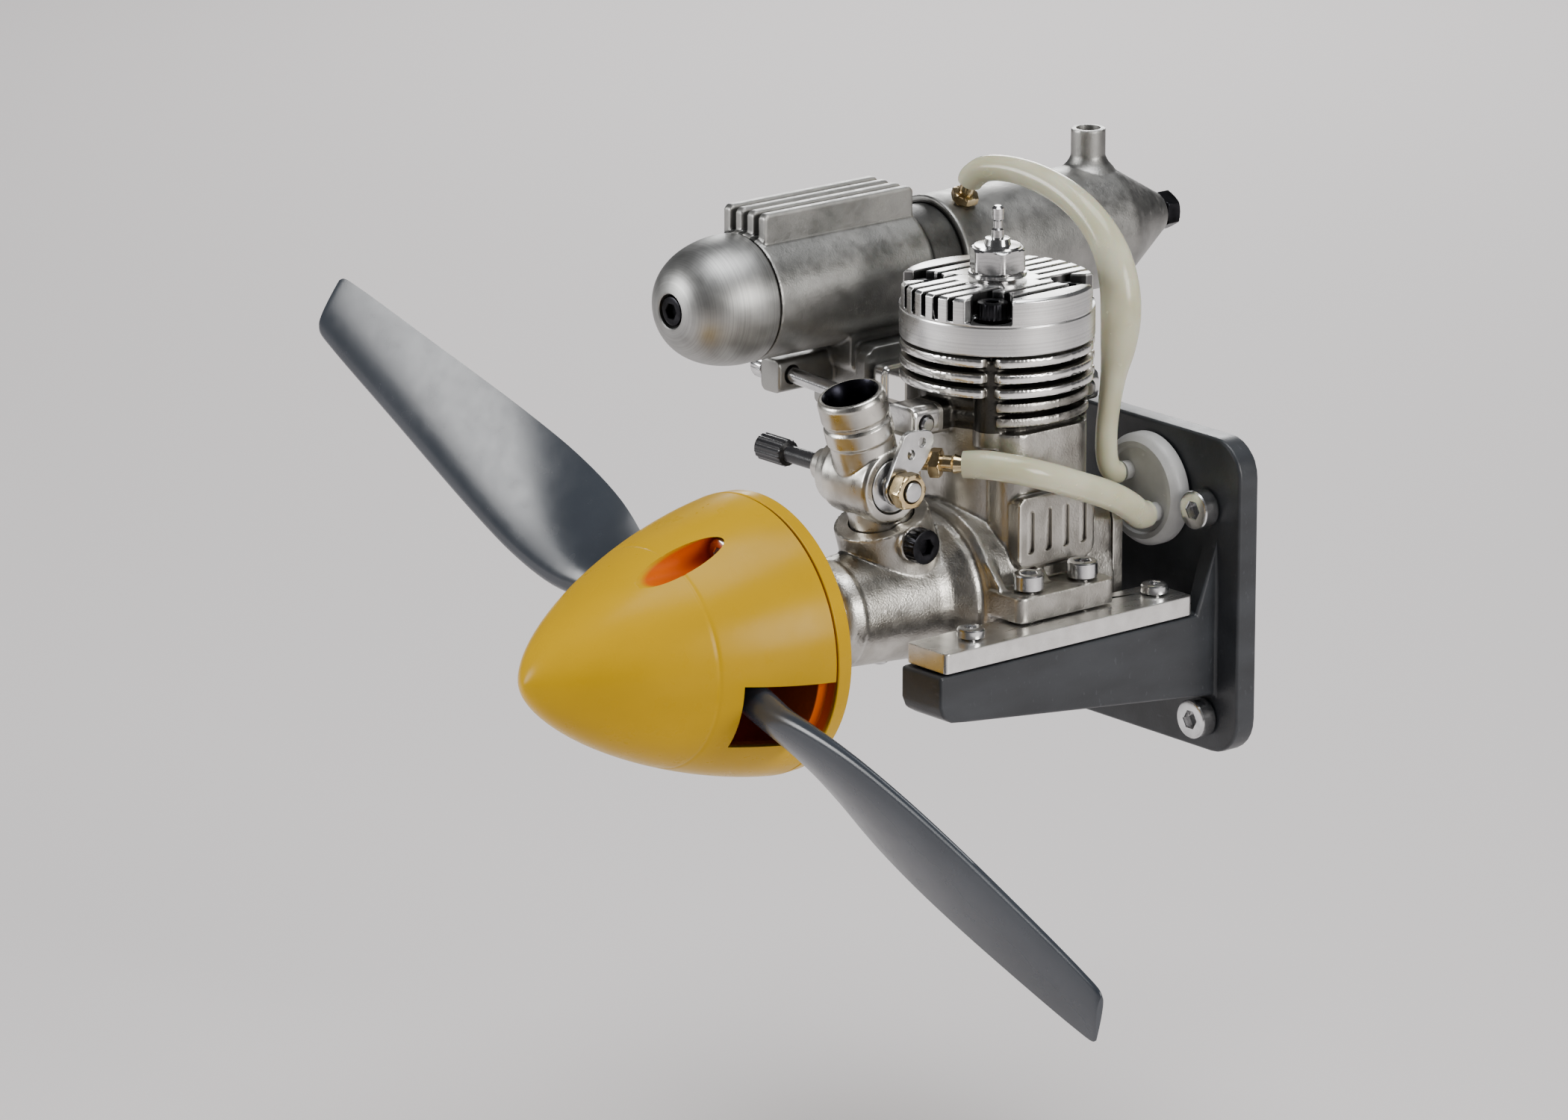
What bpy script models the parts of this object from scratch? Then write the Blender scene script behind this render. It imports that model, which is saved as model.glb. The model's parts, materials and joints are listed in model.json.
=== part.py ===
"""Model two-stroke glow engine with carburettor, silencer, propeller and beam mount.

Sizes are written in millimetres in the engine's own frame: x to the left as
seen from behind, b backwards from the cylinder axis, z up from the crank axis.
The part's frame has its origin at the mount's rear face, on the crank axis.
"""
import math

import bpy
import bmesh
from mathutils import Vector

# driving sizes, millimetres
CYLINDER_TO_FIREWALL = 28.0
GAP = 0.3
BORE_R = 7.6
THROW = 6.85
ROD_LENGTH = 25.0
CROWN_ABOVE_PIN = 6.0
LINER_R = 9.0
CASE_R = 14.3
CHAMBER_R = 12.3
CASE_FRONT = -13.5
CASE_REAR = 12.2
NOSE_END = -37.0
SHAFT_R = 4.5
PIN_R = 2.0
WRIST_R = 1.9
THREAD_R = 2.4
FIN_R = 15.25
NECK_R = 12.0
DECK_Z = 38.6
FIN_PITCH = 2.4
FIN_THICK = 1.4
PIN_AT_TOP = (0.0, 0.0, THROW)
PIN_PIVOT = (0.0, 0.0, THROW / 2)
HEAD_BOTTOM = 39.0
HEAD_TOP = 48.0
HEAD_SCREW_AT = 8.0
COVER_SCREW_AT = 10.2
PLUG_HEX = 8.0
CARB_B = -25.5
CARB_Z = 20.0
CARB_RAKE = 17.0
BARREL_AXIS = (0.0, CARB_B, CARB_Z)
CLAMP_AT = (-23.6, 11.1)
MUFFLER_X = -31.0
MUFFLER_Z = 43.0
MUFFLER_R = 10.25
MUFFLER_WALL = 1.05
OUTLET_B = 46.6
SPINNER_R = 22.25
SPINNER_BASE = -48.2
SPINNER_LENGTH = 46.0
SPINNER_RIM = 2.6
SPINNER_SCREW_AT = 17.3
SPINNER_SCREW_SEAT = -59.7
PROP_R = 98.5
PROP_PITCH = 127.0
PROP_ANGLE = -21.3
PROP_MID = -60.3
PROP_HALF = 4.4
PROP_FACE = PROP_MID - PROP_HALF - GAP
CONE_BASE = SPINNER_BASE - SPINNER_RIM - GAP
PLATE_FRONT = 24.0
PLATE_HALF_WIDTH = 30.0
PLATE_BOTTOM = -28.0
PLATE_TOP = 23.0
BEAM_INNER = 15.7
BEAM_OUTER = 25.0
LUG_SCREW_X = 17.6
LUG_SCREW_B = (-8.7, 2.4)
BAR_SCREW_X = 20.5
BAR_SCREW_B = (-23.0, 15.0)
FIREWALL_BOLT_X = 22.5
FIREWALL_BOLT_Z = (11.5, -22.5)
FITTING_AT = (10.0, 12.2)
PIPE_UPPER = (7.6, 15.0)
PIPE_LOWER = (14.2, 9.6)

for old in list(bpy.data.objects):
    bpy.data.objects.remove(old)


def metres(p):
    """A point of the engine's frame, in the part's frame."""
    return Vector((p[0], p[1] - CYLINDER_TO_FIREWALL, p[2])) * 0.001


def paint(name, colour, metallic, roughness):
    """A plain surface for one kind of material."""
    material = bpy.data.materials.new(name)
    material.use_nodes = True
    shader = material.node_tree.nodes["Principled BSDF"]
    shader.inputs["Base Color"].default_value = (*colour, 1.0)
    shader.inputs["Metallic"].default_value = metallic
    shader.inputs["Roughness"].default_value = roughness
    return material


SURFACES = {
    "cast": ((0.62, 0.60, 0.56), 0.9, 0.5),
    "turned": ((0.82, 0.82, 0.82), 1.0, 0.25),
    "steel": ((0.60, 0.60, 0.61), 1.0, 0.3),
    "black_steel": ((0.03, 0.03, 0.035), 0.8, 0.4),
    "brass": ((0.72, 0.56, 0.28), 1.0, 0.3),
    "bronze": ((0.55, 0.38, 0.20), 1.0, 0.4),
    "nylon": ((0.10, 0.11, 0.13), 0.0, 0.5),
    "black_nylon": ((0.02, 0.022, 0.028), 0.0, 0.35),
    "spinner": ((0.95, 0.62, 0.03), 0.0, 0.3),
    "grey_plastic": ((0.45, 0.46, 0.47), 0.0, 0.5),
    "silicone": ((0.72, 0.74, 0.58), 0.0, 0.35),
}


def add_object(name, verts, faces):
    """A closed mesh object from points of the engine's frame."""
    mesh = bpy.data.meshes.new(name)
    work = bmesh.new()
    points = [work.verts.new(metres(v)) for v in verts]
    for face in faces:
        work.faces.new([points[i] for i in face])
    bmesh.ops.recalc_face_normals(work, faces=work.faces)
    work.to_mesh(mesh)
    work.free()
    obj = bpy.data.objects.new(name, mesh)
    bpy.context.collection.objects.link(obj)
    return obj


def stack(name, rows, origin=(0, 0, 0), along=(0, 1, 0), side=(1, 0, 0), steps=24, closed=False):
    """Rings round an axis: each row is (distance along, radius or radius of angle, or 0)."""
    axis = Vector(along).normalized()
    first = Vector(side)
    first = (first - axis * first.dot(axis)).normalized()
    second = axis.cross(first)
    verts, rings = [], []
    for distance, radius in rows:
        centre = Vector(origin) + axis * distance
        if radius == 0:
            rings.append([len(verts)])
            verts.append(centre)
            continue
        rings.append(list(range(len(verts), len(verts) + steps)))
        for i in range(steps):
            angle = 2 * math.pi * i / steps
            r = radius(angle) if callable(radius) else radius
            verts.append(centre + (first * math.cos(angle) + second * math.sin(angle)) * r)
    faces = []
    pairs = list(zip(rings, rings[1:]))
    if closed:
        pairs.append((rings[-1], rings[0]))
    for low, high in pairs:
        for i in range(steps):
            j = (i + 1) % steps
            if len(low) == 1:
                faces.append((low[0], high[j], high[i]))
            elif len(high) == 1:
                faces.append((low[i], low[j], high[0]))
            else:
                faces.append((low[i], low[j], high[j], high[i]))
    if not closed:
        for ring in (rings[0], rings[-1]):
            if len(ring) > 1:
                faces.append(tuple(ring))
    return add_object(name, verts, faces)


def rod(name, radius, start, end, steps=20, side=(1, 0, 0.01)):
    """A plain cylinder between two points."""
    line = Vector(end) - Vector(start)
    return stack(name, [(0, radius), (line.length, radius)], start, line, side, steps)


def loft(name, sections):
    """A skin over sections of equal point count, closed at both ends."""
    count = len(sections[0])
    verts = [p for section in sections for p in section]
    faces = [tuple(range(count)), tuple(range(len(verts) - count, len(verts)))]
    for k in range(len(sections) - 1):
        for i in range(count):
            j = (i + 1) % count
            low, high = k * count, (k + 1) * count
            faces.append((low + i, low + j, high + j, high + i))
    return add_object(name, verts, faces)


def prism(name, outline, low, high, axis):
    """An outline pushed along one axis; the outline is given in the two other axes."""
    places = {
        "x": lambda u, v, w: (w, u, v),
        "b": lambda u, v, w: (u, w, v),
        "z": lambda u, v, w: (u, v, w),
    }
    place = places[axis]
    return loft(name, [[place(u, v, w) for u, v in outline] for w in (low, high)])


def box(name, low, high):
    """A plain block between two corners."""
    outline = [(low[0], low[1]), (high[0], low[1]), (high[0], high[1]), (low[0], high[1])]
    return prism(name, outline, low[2], high[2], "z")


def rounded(centre, width, height, radius, steps=3):
    """The outline of a rectangle with round corners."""
    points = []
    for k, (sx, sy) in enumerate(((1, 1), (-1, 1), (-1, -1), (1, -1))):
        cx = centre[0] + sx * (width / 2 - radius)
        cy = centre[1] + sy * (height / 2 - radius)
        for i in range(steps):
            angle = math.radians(90 * k + 90 * i / (steps - 1))
            points.append((cx + radius * math.cos(angle), cy + radius * math.sin(angle)))
    return points


def hexagon(across_flats):
    """The radius of a hexagon as a function of angle."""
    def radius(angle):
        turn = (angle + math.pi / 6) % (math.pi / 3) - math.pi / 6
        return across_flats / 2 / math.cos(turn)
    return radius


def combine(target, operation, tools):
    """Join tools to a solid, or cut them out of it, and clear them away."""
    for tool in tools:
        step = target.modifiers.new(operation, "BOOLEAN")
        step.operation = operation
        step.solver = "EXACT"
        step.object = tool
    graph = bpy.context.evaluated_depsgraph_get()
    result = bpy.data.meshes.new_from_object(target.evaluated_get(graph))
    target.modifiers.clear()
    target.data = result
    for tool in tools:
        bpy.data.objects.remove(tool)
    return target


def join(target, *tools):
    return combine(target, "UNION", tools)


def cut(target, *tools):
    return combine(target, "DIFFERENCE", tools)


def finish(obj, surface, origin=None):
    """Give a finished piece its own surface, smooth its round sides and put its origin on its joint."""
    if origin:
        obj.location = metres(origin)
        for vert in obj.data.vertices:
            vert.co -= obj.location
    obj.data.materials.clear()
    obj.data.materials.append(paint(obj.name, *SURFACES[surface]))
    obj.data.shade_smooth()
    obj.data.set_sharp_from_angle(angle=math.radians(32))
    obj.data.name = obj.name
    return obj


def cap_screw(name, seat, along, head_r, head_h, shank_r, length, surface, socket_r=None):
    """A socket screw: seat is where the head meets what it holds, along points into it."""
    socket = socket_r or head_r * 0.5
    rows = [
        (-head_h * 0.45, socket),
        (-head_h, socket),
        (-head_h, head_r),
        (0, head_r),
        (0, shank_r),
        (length, shank_r),
    ]
    side = (0, 0, 1) if abs(Vector(along).normalized().z) < 0.9 else (1, 0, 0)
    return finish(stack(name, rows, seat, along, side, steps=12), surface)


# ---------------------------------------------------------------- engine body

def fin_edge(angle):
    """The outline of a full fin, notched at the four head screws."""
    away = abs((math.degrees(angle) - 45) % 90)
    away = min(away, 90 - away)
    return FIN_R - (1.7 if away < 1 else 0.0)


def side_fin_edge(angle):
    """The outline of a lower fin, which stands out on the bypass side only."""
    away = abs((math.degrees(angle) + 180) % 360 - 180)
    if away < 40:
        return 14.5
    if away < 50:
        return 13.7
    return NECK_R + 0.4


def cylinder_column():
    """The cylinder's outside with its fins."""
    rows = [(6.0, NECK_R)]
    tops = [DECK_Z - k * FIN_PITCH for k in range(5)]
    for k in reversed(range(5)):
        edge = fin_edge if k < 3 else side_fin_edge
        low = tops[k] - FIN_THICK
        if k == 0:
            rows += [(low, NECK_R), (low, edge), (tops[k], edge)]
        else:
            rows += [(low, NECK_R), (low, edge), (tops[k], edge), (tops[k], NECK_R)]
    return stack("column", rows, along=(0, 0, 1), steps=32)


def rake(distance):
    """A point on the carburettor's leaning axis."""
    return (0.0, CARB_B + distance * RAKE[1], CARB_Z + distance * RAKE[2])


RAKE = (0.0, -math.sin(math.radians(CARB_RAKE)), math.cos(math.radians(CARB_RAKE)))
MUFFLER_SCREW_FALL = 0.045
MUFFLER_SCREW_B = (-17.2, 16.2)


def muffler_screw_at(x):
    """Height of the silencer's long screws, which fall towards the cylinder."""
    return 28.1 + MUFFLER_SCREW_FALL * (1.5 - x)


def build_crankcase():
    case = rod("crankcase", CASE_R, (0, CASE_FRONT, 0), (0, CASE_REAR, 0), 32)
    nose_rows = [(-11.0, 12.6), (-14.5, 12.6), (-17.5, 9.8), (NOSE_END + 1, 8.3), (NOSE_END, 7.6)]
    nose = stack("nose", nose_rows, steps=28)
    flange = prism("flange", rounded((0, 0), 27, 27, 4.5), 7.6, CASE_REAR, "b")
    bulge = prism("bulge", rounded((6.2, 0), 14.4, 17.6, 3.0), 2.0, 27.2, "z")
    pad = prism("pad", rounded((-0.2, 11.0), 15.6, 11.4, 1.2), 10.0, 14.6, "x")
    boss = rod("boss", 7.6, rake(-17.5), rake(-6.6), 24)
    clamp_pad = rod("clamp_pad", 2.8, (4.0, *CLAMP_AT), (8.1, *CLAMP_AT), 14)
    stack_duct = box("duct", (-19.6, -8.6, 22.4), (-6.0, 8.6, 31.6))
    join(case, nose, cylinder_column(), flange, bulge, pad, boss, clamp_pad, stack_duct)
    lugs = []
    for side in (-1, 1):
        low, high = sorted((side * 12.0, side * 21.0))
        outline = rounded(((low + high) / 2, -3.45), high - low, 19.9, 1.5)
        lugs.append(prism("lug", outline, -1.0, 3.0, "z"))
    for sx in (-1, 1):
        for sb in (-1, 1):
            lugs.append(rod("post", 2.7, (sx * 8, sb * 8, 24), (sx * 8, sb * 8, DECK_Z - 0.7), 14))
    lugs.append(prism("front_ear", rounded((0.0, 28.3), 6.4, 5.0, 1.4), -19.6, -10.5, "b"))
    lugs.append(prism("rear_ear", rounded((0.0, 28.3), 6.4, 5.0, 1.4), 10.5, 18.6, "b"))
    join(case, *lugs)
    cut(
        case,
        rod("chamber", CHAMBER_R, (0, -11.8, 0), (0, 14, 0), 28),
        rod("liner_bore", LINER_R + GAP, (0, 0, 4), (0, 0, 40), 28),
        rod("shaft_bore", 6.5, (0, -39, 0), (0, -11, 0), 20),
    )
    cut(
        case,
        box("exhaust", (-21, -6.6, 24.4), (-7, 6.6, 29.6)),
        box("bypass", (7.0, -4.6, 5.0), (11.8, 4.6, 26.6)),
        rod("carb_bore", 5.3, rake(-11.8), rake(-5), 20),
        rod("inlet", 3.2, rake(-18), rake(-11), 14),
    )
    holes = [rod("clamp_hole", 1.5, (3.5, *CLAMP_AT), (9, *CLAMP_AT), 12)]
    for side in (-1, 1):
        for b in LUG_SCREW_B:
            holes.append(rod("hole", 1.7, (side * LUG_SCREW_X, b, -2), (side * LUG_SCREW_X, b, 4), 10))
        for sb in (-1, 1):
            at = (side * HEAD_SCREW_AT, sb * HEAD_SCREW_AT)
            holes.append(rod("hole", 1.5, (*at, 29.5), (*at, 40), 10))
            x, z = side * COVER_SCREW_AT, sb * COVER_SCREW_AT
            holes.append(rod("hole", 1.3, (x, 5.0, z), (x, 14, z), 10))
    for b in MUFFLER_SCREW_B:
        start, end = (-5.0, b, muffler_screw_at(-5.0)), (5.0, b, muffler_screw_at(5.0))
        holes.append(rod("hole", 1.6, start, end, 14))
    cut(case, *holes)
    return finish(case, "cast")


def build_engine():
    build_crankcase()

    tube = [(-36.4, 6.2), (-12.2, 6.2), (-12.2, SHAFT_R + GAP), (-36.4, SHAFT_R + GAP)]
    bush = stack("front_bush", tube, steps=20, closed=True)
    cut(bush, box("window", (-2.9, -24.0, 2.0), (2.9, -18.2, 8.0)))
    finish(bush, "bronze")

    sleeve = [(12.6, LINER_R), (DECK_Z - 0.1, LINER_R), (DECK_Z - 0.1, BORE_R), (12.6, BORE_R)]
    liner = stack("cylinder_liner", sleeve, along=(0, 0, 1), steps=28, closed=True)
    cut(
        liner,
        box("port", (-12, -5.2, 24.9), (-4, 5.2, 29.0)),
        box("port", (4, -4.2, 22.6), (12, 4.2, 26.0)),
    )
    finish(liner, "steel")

    head = stack(
        "cylinder_head",
        [
            (HEAD_BOTTOM, 0),
            (HEAD_BOTTOM, FIN_R - 0.4),
            (HEAD_BOTTOM + 0.4, FIN_R),
            (HEAD_TOP - 0.5, FIN_R),
            (HEAD_TOP, FIN_R - 0.5),
            (HEAD_TOP, 0),
        ],
        along=(0, 0, 1),
        steps=32,
    )
    grooves = []
    for k, x in enumerate((-10.9, -7.9, -5.2, -2.6, 0.0, 2.6, 5.2, 7.9, 10.9)):
        width = 1.5 if k in (0, 8) else 1.0
        low, high = (x - width / 2, -17, HEAD_TOP - 3.7), (x + width / 2, 17, HEAD_TOP + 1)
        if abs(x) > 6.0:
            grooves.append(box("groove", low, high))
            continue
        reach = math.sqrt(6.4 ** 2 - x * x)
        grooves.append(box("groove", low, (high[0], -reach, high[2])))
        grooves.append(box("groove", (low[0], reach, low[2]), high))
    cut(head, *grooves)
    pockets = [rod("plug_hole", 3.2, (0, 0, 38), (0, 0, 50), 20)]
    for sx in (-1, 1):
        for sb in (-1, 1):
            at = (sx * HEAD_SCREW_AT, sb * HEAD_SCREW_AT)
            pockets.append(rod("pocket", 3.0, (*at, 44.0), (*at, 50), 10))
            pockets.append(rod("hole", 1.6, (*at, 38), (*at, 45), 10))
            way = Vector((sx, sb, 0)).normalized()
            cross = Vector((-way.y, way.x, 0))
            corners = []
            for reach, half in ((11.3, 2.95), (17.5, 3.3)):
                corners.append([way * reach - cross * half, way * reach + cross * half])
            outline = [*corners[0], corners[1][1], corners[1][0]]
            pockets.append(prism("way_out", [(p.x, p.y) for p in outline], 44.0, 50, "z"))
    cut(head, *pockets)
    finish(head, "turned")

    plug_rows = [
        (39.4, 1.6), (40.4, 2.8), (48.4, 2.8), (48.4, 4.6), (49.1, 4.6), (49.1, hexagon(PLUG_HEX)),
        (52.9, hexagon(PLUG_HEX)), (53.3, 3.6), (53.3, 2.0), (54.4, 1.9), (54.4, 1.0), (59.0, 1.0),
        (59.4, 0.6),
    ]
    finish(stack("glow_plug", plug_rows, along=(0, 0, 1), steps=18), "steel")
    k = 0
    for sx in (-1, 1):
        for sb in (-1, 1):
            k += 1
            seat = (sx * HEAD_SCREW_AT, sb * HEAD_SCREW_AT, 44.3)
            cap_screw(f"head_screw_{k}", seat, (0, 0, -1), 2.45, 2.7, 1.2, 13.0, "black_steel")

    cover = stack("backplate", [(7.0, 11.9), (CASE_REAR + 1.2, 11.9)], steps=28)
    join(cover, prism("flange", rounded((0, 0), 27, 27, 4.5), CASE_REAR + GAP, CASE_REAR + 2.4, "b"))
    corners = [(sx * COVER_SCREW_AT, sz * COVER_SCREW_AT) for sx in (-1, 1) for sz in (-1, 1)]
    cut(cover, *[rod("hole", 1.5, (x, 10, z), (x, 16, z), 14) for x, z in corners])
    finish(cover, "cast")
    for k, (x, z) in enumerate(corners, 1):
        seat = (x, CASE_REAR + 2.7, z)
        cap_screw(f"backplate_screw_{k}", seat, (0, -1, 0), 2.1, 1.9, 1.0, 8.5, "black_steel")


# ------------------------------------------------------------- moving inside

def build_crank_train():
    outline = []
    for i in range(36):
        angle = math.radians(10 * i - 90)
        x, z = 11.6 * math.cos(angle), 11.6 * math.sin(angle)
        if z > 0:
            x = max(-7.4, min(7.4, x))
        outline.append((x, z))
    shaft = prism("crankshaft", outline, -11.4, -5.4, "b")
    end = PROP_FACE - 6.1
    spindle_rows = [
        (end, THREAD_R - 0.4), (end + 0.4, THREAD_R), (-37.5, THREAD_R), (-37.3, SHAFT_R),
        (-9.0, SHAFT_R),
    ]
    join(shaft, stack("spindle", spindle_rows, steps=20))
    cut(
        shaft,
        rod("passage", 2.6, (0, -23.8, 0), (0, -5, 0), 20),
        box("valve", (-2.5, -23.8, 0.2), (2.5, -18.4, 6.0)),
    )
    finish(shaft, "steel")

    pin = stack("crankpin", [(-5.1, PIN_R), (3.2, PIN_R)], origin=(0, 0, THROW), steps=20)
    finish(pin, "steel", PIN_PIVOT)

    top = THROW + ROD_LENGTH
    shank = [(-2.0, THROW), (2.0, THROW), (1.5, top), (-1.5, top)]
    body = prism("conrod", shank, -1.5, 1.5, "b")
    join(
        body,
        rod("big_end", 4.2, (0, -2.4, THROW), (0, 2.4, THROW), 24),
        rod("small_end", 3.4, (0, -2.2, top), (0, 2.2, top), 24),
    )
    cut(
        body,
        rod("big_hole", PIN_R + GAP, (0, -4, THROW), (0, 4, THROW), 20),
        rod("small_hole", WRIST_R + GAP, (0, -4, top), (0, 4, top), 20),
    )
    finish(body, "turned", PIN_AT_TOP)

    wrist = [(-6.6, WRIST_R), (6.6, WRIST_R), (6.6, 1.0), (-6.6, 1.0)]
    finish(stack("wrist_pin", wrist, origin=(0, 0, top), steps=20, closed=True), "steel", PIN_AT_TOP)

    skirt, crown, r = top - 6.0, top + CROWN_ABOVE_PIN, BORE_R - GAP
    outside = [(skirt, r), (crown - 0.3, r), (crown, r - 0.3)]
    piston = stack("piston", outside, along=(0, 0, 1), steps=28)
    cut(piston, rod("hollow", r - 1.4, (0, 0, skirt - 1), (0, 0, crown - 1.8), 20))
    bosses = [rod("pin_boss", 3.3, (0, s * 3.0, top), (0, s * 6.6, top), 14) for s in (-1, 1)]
    join(piston, *bosses)
    cut(piston, rod("pin_hole", WRIST_R + GAP, (0, -9, top), (0, 9, top), 20))
    finish(piston, "cast", PIN_AT_TOP)


# ------------------------------------------------------- propeller and spinner

def turn(x, z, degrees=PROP_ANGLE):
    """A point across the shaft, turned with the propeller."""
    a = math.radians(degrees)
    return x * math.cos(a) - z * math.sin(a), x * math.sin(a) + z * math.cos(a)


def blade(sign):
    """One twisted blade, from inside the hub to its squared tip."""
    stations = [
        (4.0, 7.6, 3.4), (11.0, 9.4, 4.8), (19.0, 12.0, 4.6), (29.0, 17.0, 3.8), (40.0, 18.8, 3.0),
        (52.0, 18.2, 2.5), (64.0, 16.6, 2.1), (76.0, 14.6, 1.8), (88.0, 12.6, 1.5), (94.0, 11.4, 1.35),
        (PROP_R - 1.1, 10.4, 1.2), (PROP_R, 8.6, 1.0),
    ]
    outline = [
        (-0.50, 0.0), (-0.42, 0.34), (-0.2, 0.62), (0.08, 0.66), (0.34, 0.42), (0.5, 0.0),
        (0.34, -0.3), (0.0, -0.34), (-0.34, -0.26),
    ]
    sections = []
    for s, chord, thick in stations:
        pitch = min(math.atan(PROP_PITCH / (2 * math.pi * s)), math.radians(40))
        ring = []
        for along, off in outline:
            u, w = -along * chord, off * thick
            lead = u * math.cos(pitch) + w * -math.sin(pitch)
            front = u * math.sin(pitch) + w * math.cos(pitch)
            x, z = turn(sign * s, sign * lead)
            ring.append((x, PROP_MID - front, z))
        sections.append(ring)
    return loft("blade", sections)


def spinner_radius(b):
    """Radius of the spinner's outside at a place along the shaft."""
    t = min(max((SPINNER_BASE - b) / SPINNER_LENGTH, 0.0), 1.0)
    return SPINNER_R * (1 - t ** 1.5) ** 0.65


def spinner_rows(inset, tip, count):
    """The cone's ogive, drawn in by an inset and ending short of the tip."""
    length = CONE_BASE - SPINNER_BASE + SPINNER_LENGTH - tip
    rows = []
    for i in range(count):
        b = CONE_BASE - length * math.sin(math.pi / 2 * i / count)
        rows.append((b, spinner_radius(b) - inset))
    return rows


def build_propeller():
    hole = THREAD_R + GAP
    back, face = NOSE_END - 0.7, SPINNER_BASE + 0.4
    flare = [
        (back, 5.8), (face + 4.2, 6.4), (face + 2.2, 9.6), (face, 9.8), (face, hole), (back, hole),
    ]
    finish(stack("drive_washer", flare, steps=20, closed=True), "turned")

    seat = PROP_MID + PROP_HALF + GAP
    rim = SPINNER_BASE - SPINNER_RIM
    spigot = rim - 1.8
    plate = [
        (SPINNER_BASE + 0.1, SPINNER_R - 0.3), (rim, spinner_radius(rim)), (rim, 19.7), (spigot, 19.7),
        (spigot, 8.4), (seat, 8.0), (seat, hole), (SPINNER_BASE + 0.1, hole),
    ]
    finish(stack("spinner_backplate", plate, steps=28, closed=True), "spinner")

    prop = rod("propeller", 8.2, (0, PROP_MID + PROP_HALF, 0), (0, PROP_MID - PROP_HALF, 0), 22)
    join(prop, blade(1), blade(-1))
    cut(prop, rod("bore", hole, (0, PROP_MID + 8, 0), (0, PROP_MID - 8, 0), 20))
    finish(prop, "black_nylon")

    washer = [(PROP_FACE, 6.0), (PROP_FACE - 1.2, 6.0), (PROP_FACE - 1.2, hole), (PROP_FACE, hole)]
    finish(stack("prop_washer", washer, steps=18, closed=True), "steel")
    low, high = PROP_FACE - 5.3, PROP_FACE - 1.5
    nut = [(high, hexagon(8)), (low, hexagon(8)), (low, hole), (high, hole)]
    finish(stack("prop_nut", nut, steps=18, closed=True), "steel")

    tip = SPINNER_BASE - SPINNER_LENGTH
    cone = stack("spinner_cone", spinner_rows(0, 0, 9) + [(tip, 0)], steps=28)
    inner = spinner_rows(1.5, 2.2, 6)
    inner[0] = (CONE_BASE + 1, inner[0][1])
    hollow = stack("hollow", inner + [(tip + 2.6, 0)], steps=20)
    posts, bores = [], []
    for k, degrees in ((1, PROP_ANGLE + 90), (2, PROP_ANGLE - 90)):
        x, z = turn(SPINNER_SCREW_AT, 0, degrees)
        seat = SPINNER_SCREW_SEAT
        posts.append(rod("post", 4.1, (x, spigot - 0.5, z), (x, tip + 10, z), 14))
        bores.append(rod("bore", 2.7, (x, seat + GAP, z), (x, tip, z), 14))
        bores.append(rod("bore", 1.5, (x, spigot + 2, z), (x, seat - 2, z), 10))
        length = spigot - 0.8 - seat
        cap_screw(f"spinner_screw_{k}", (x, seat, z), (0, 1, 0), 2.3, 1.8, 1.2, length, "steel")
    cut(hollow, *posts)
    notches = []
    for sign in (1, -1):
        corners = [turn(sign * 6, -5.6), turn(sign * 30, -5.6), turn(sign * 30, 5.6), turn(sign * 6, 5.6)]
        notches.append(prism("notch", corners, PROP_MID - 6.0, CONE_BASE + 1, "b"))
    cut(cone, hollow)
    cut(cone, *bores, *notches)
    finish(cone, "spinner")


# ---------------------------------------------------------------- carburettor

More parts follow.
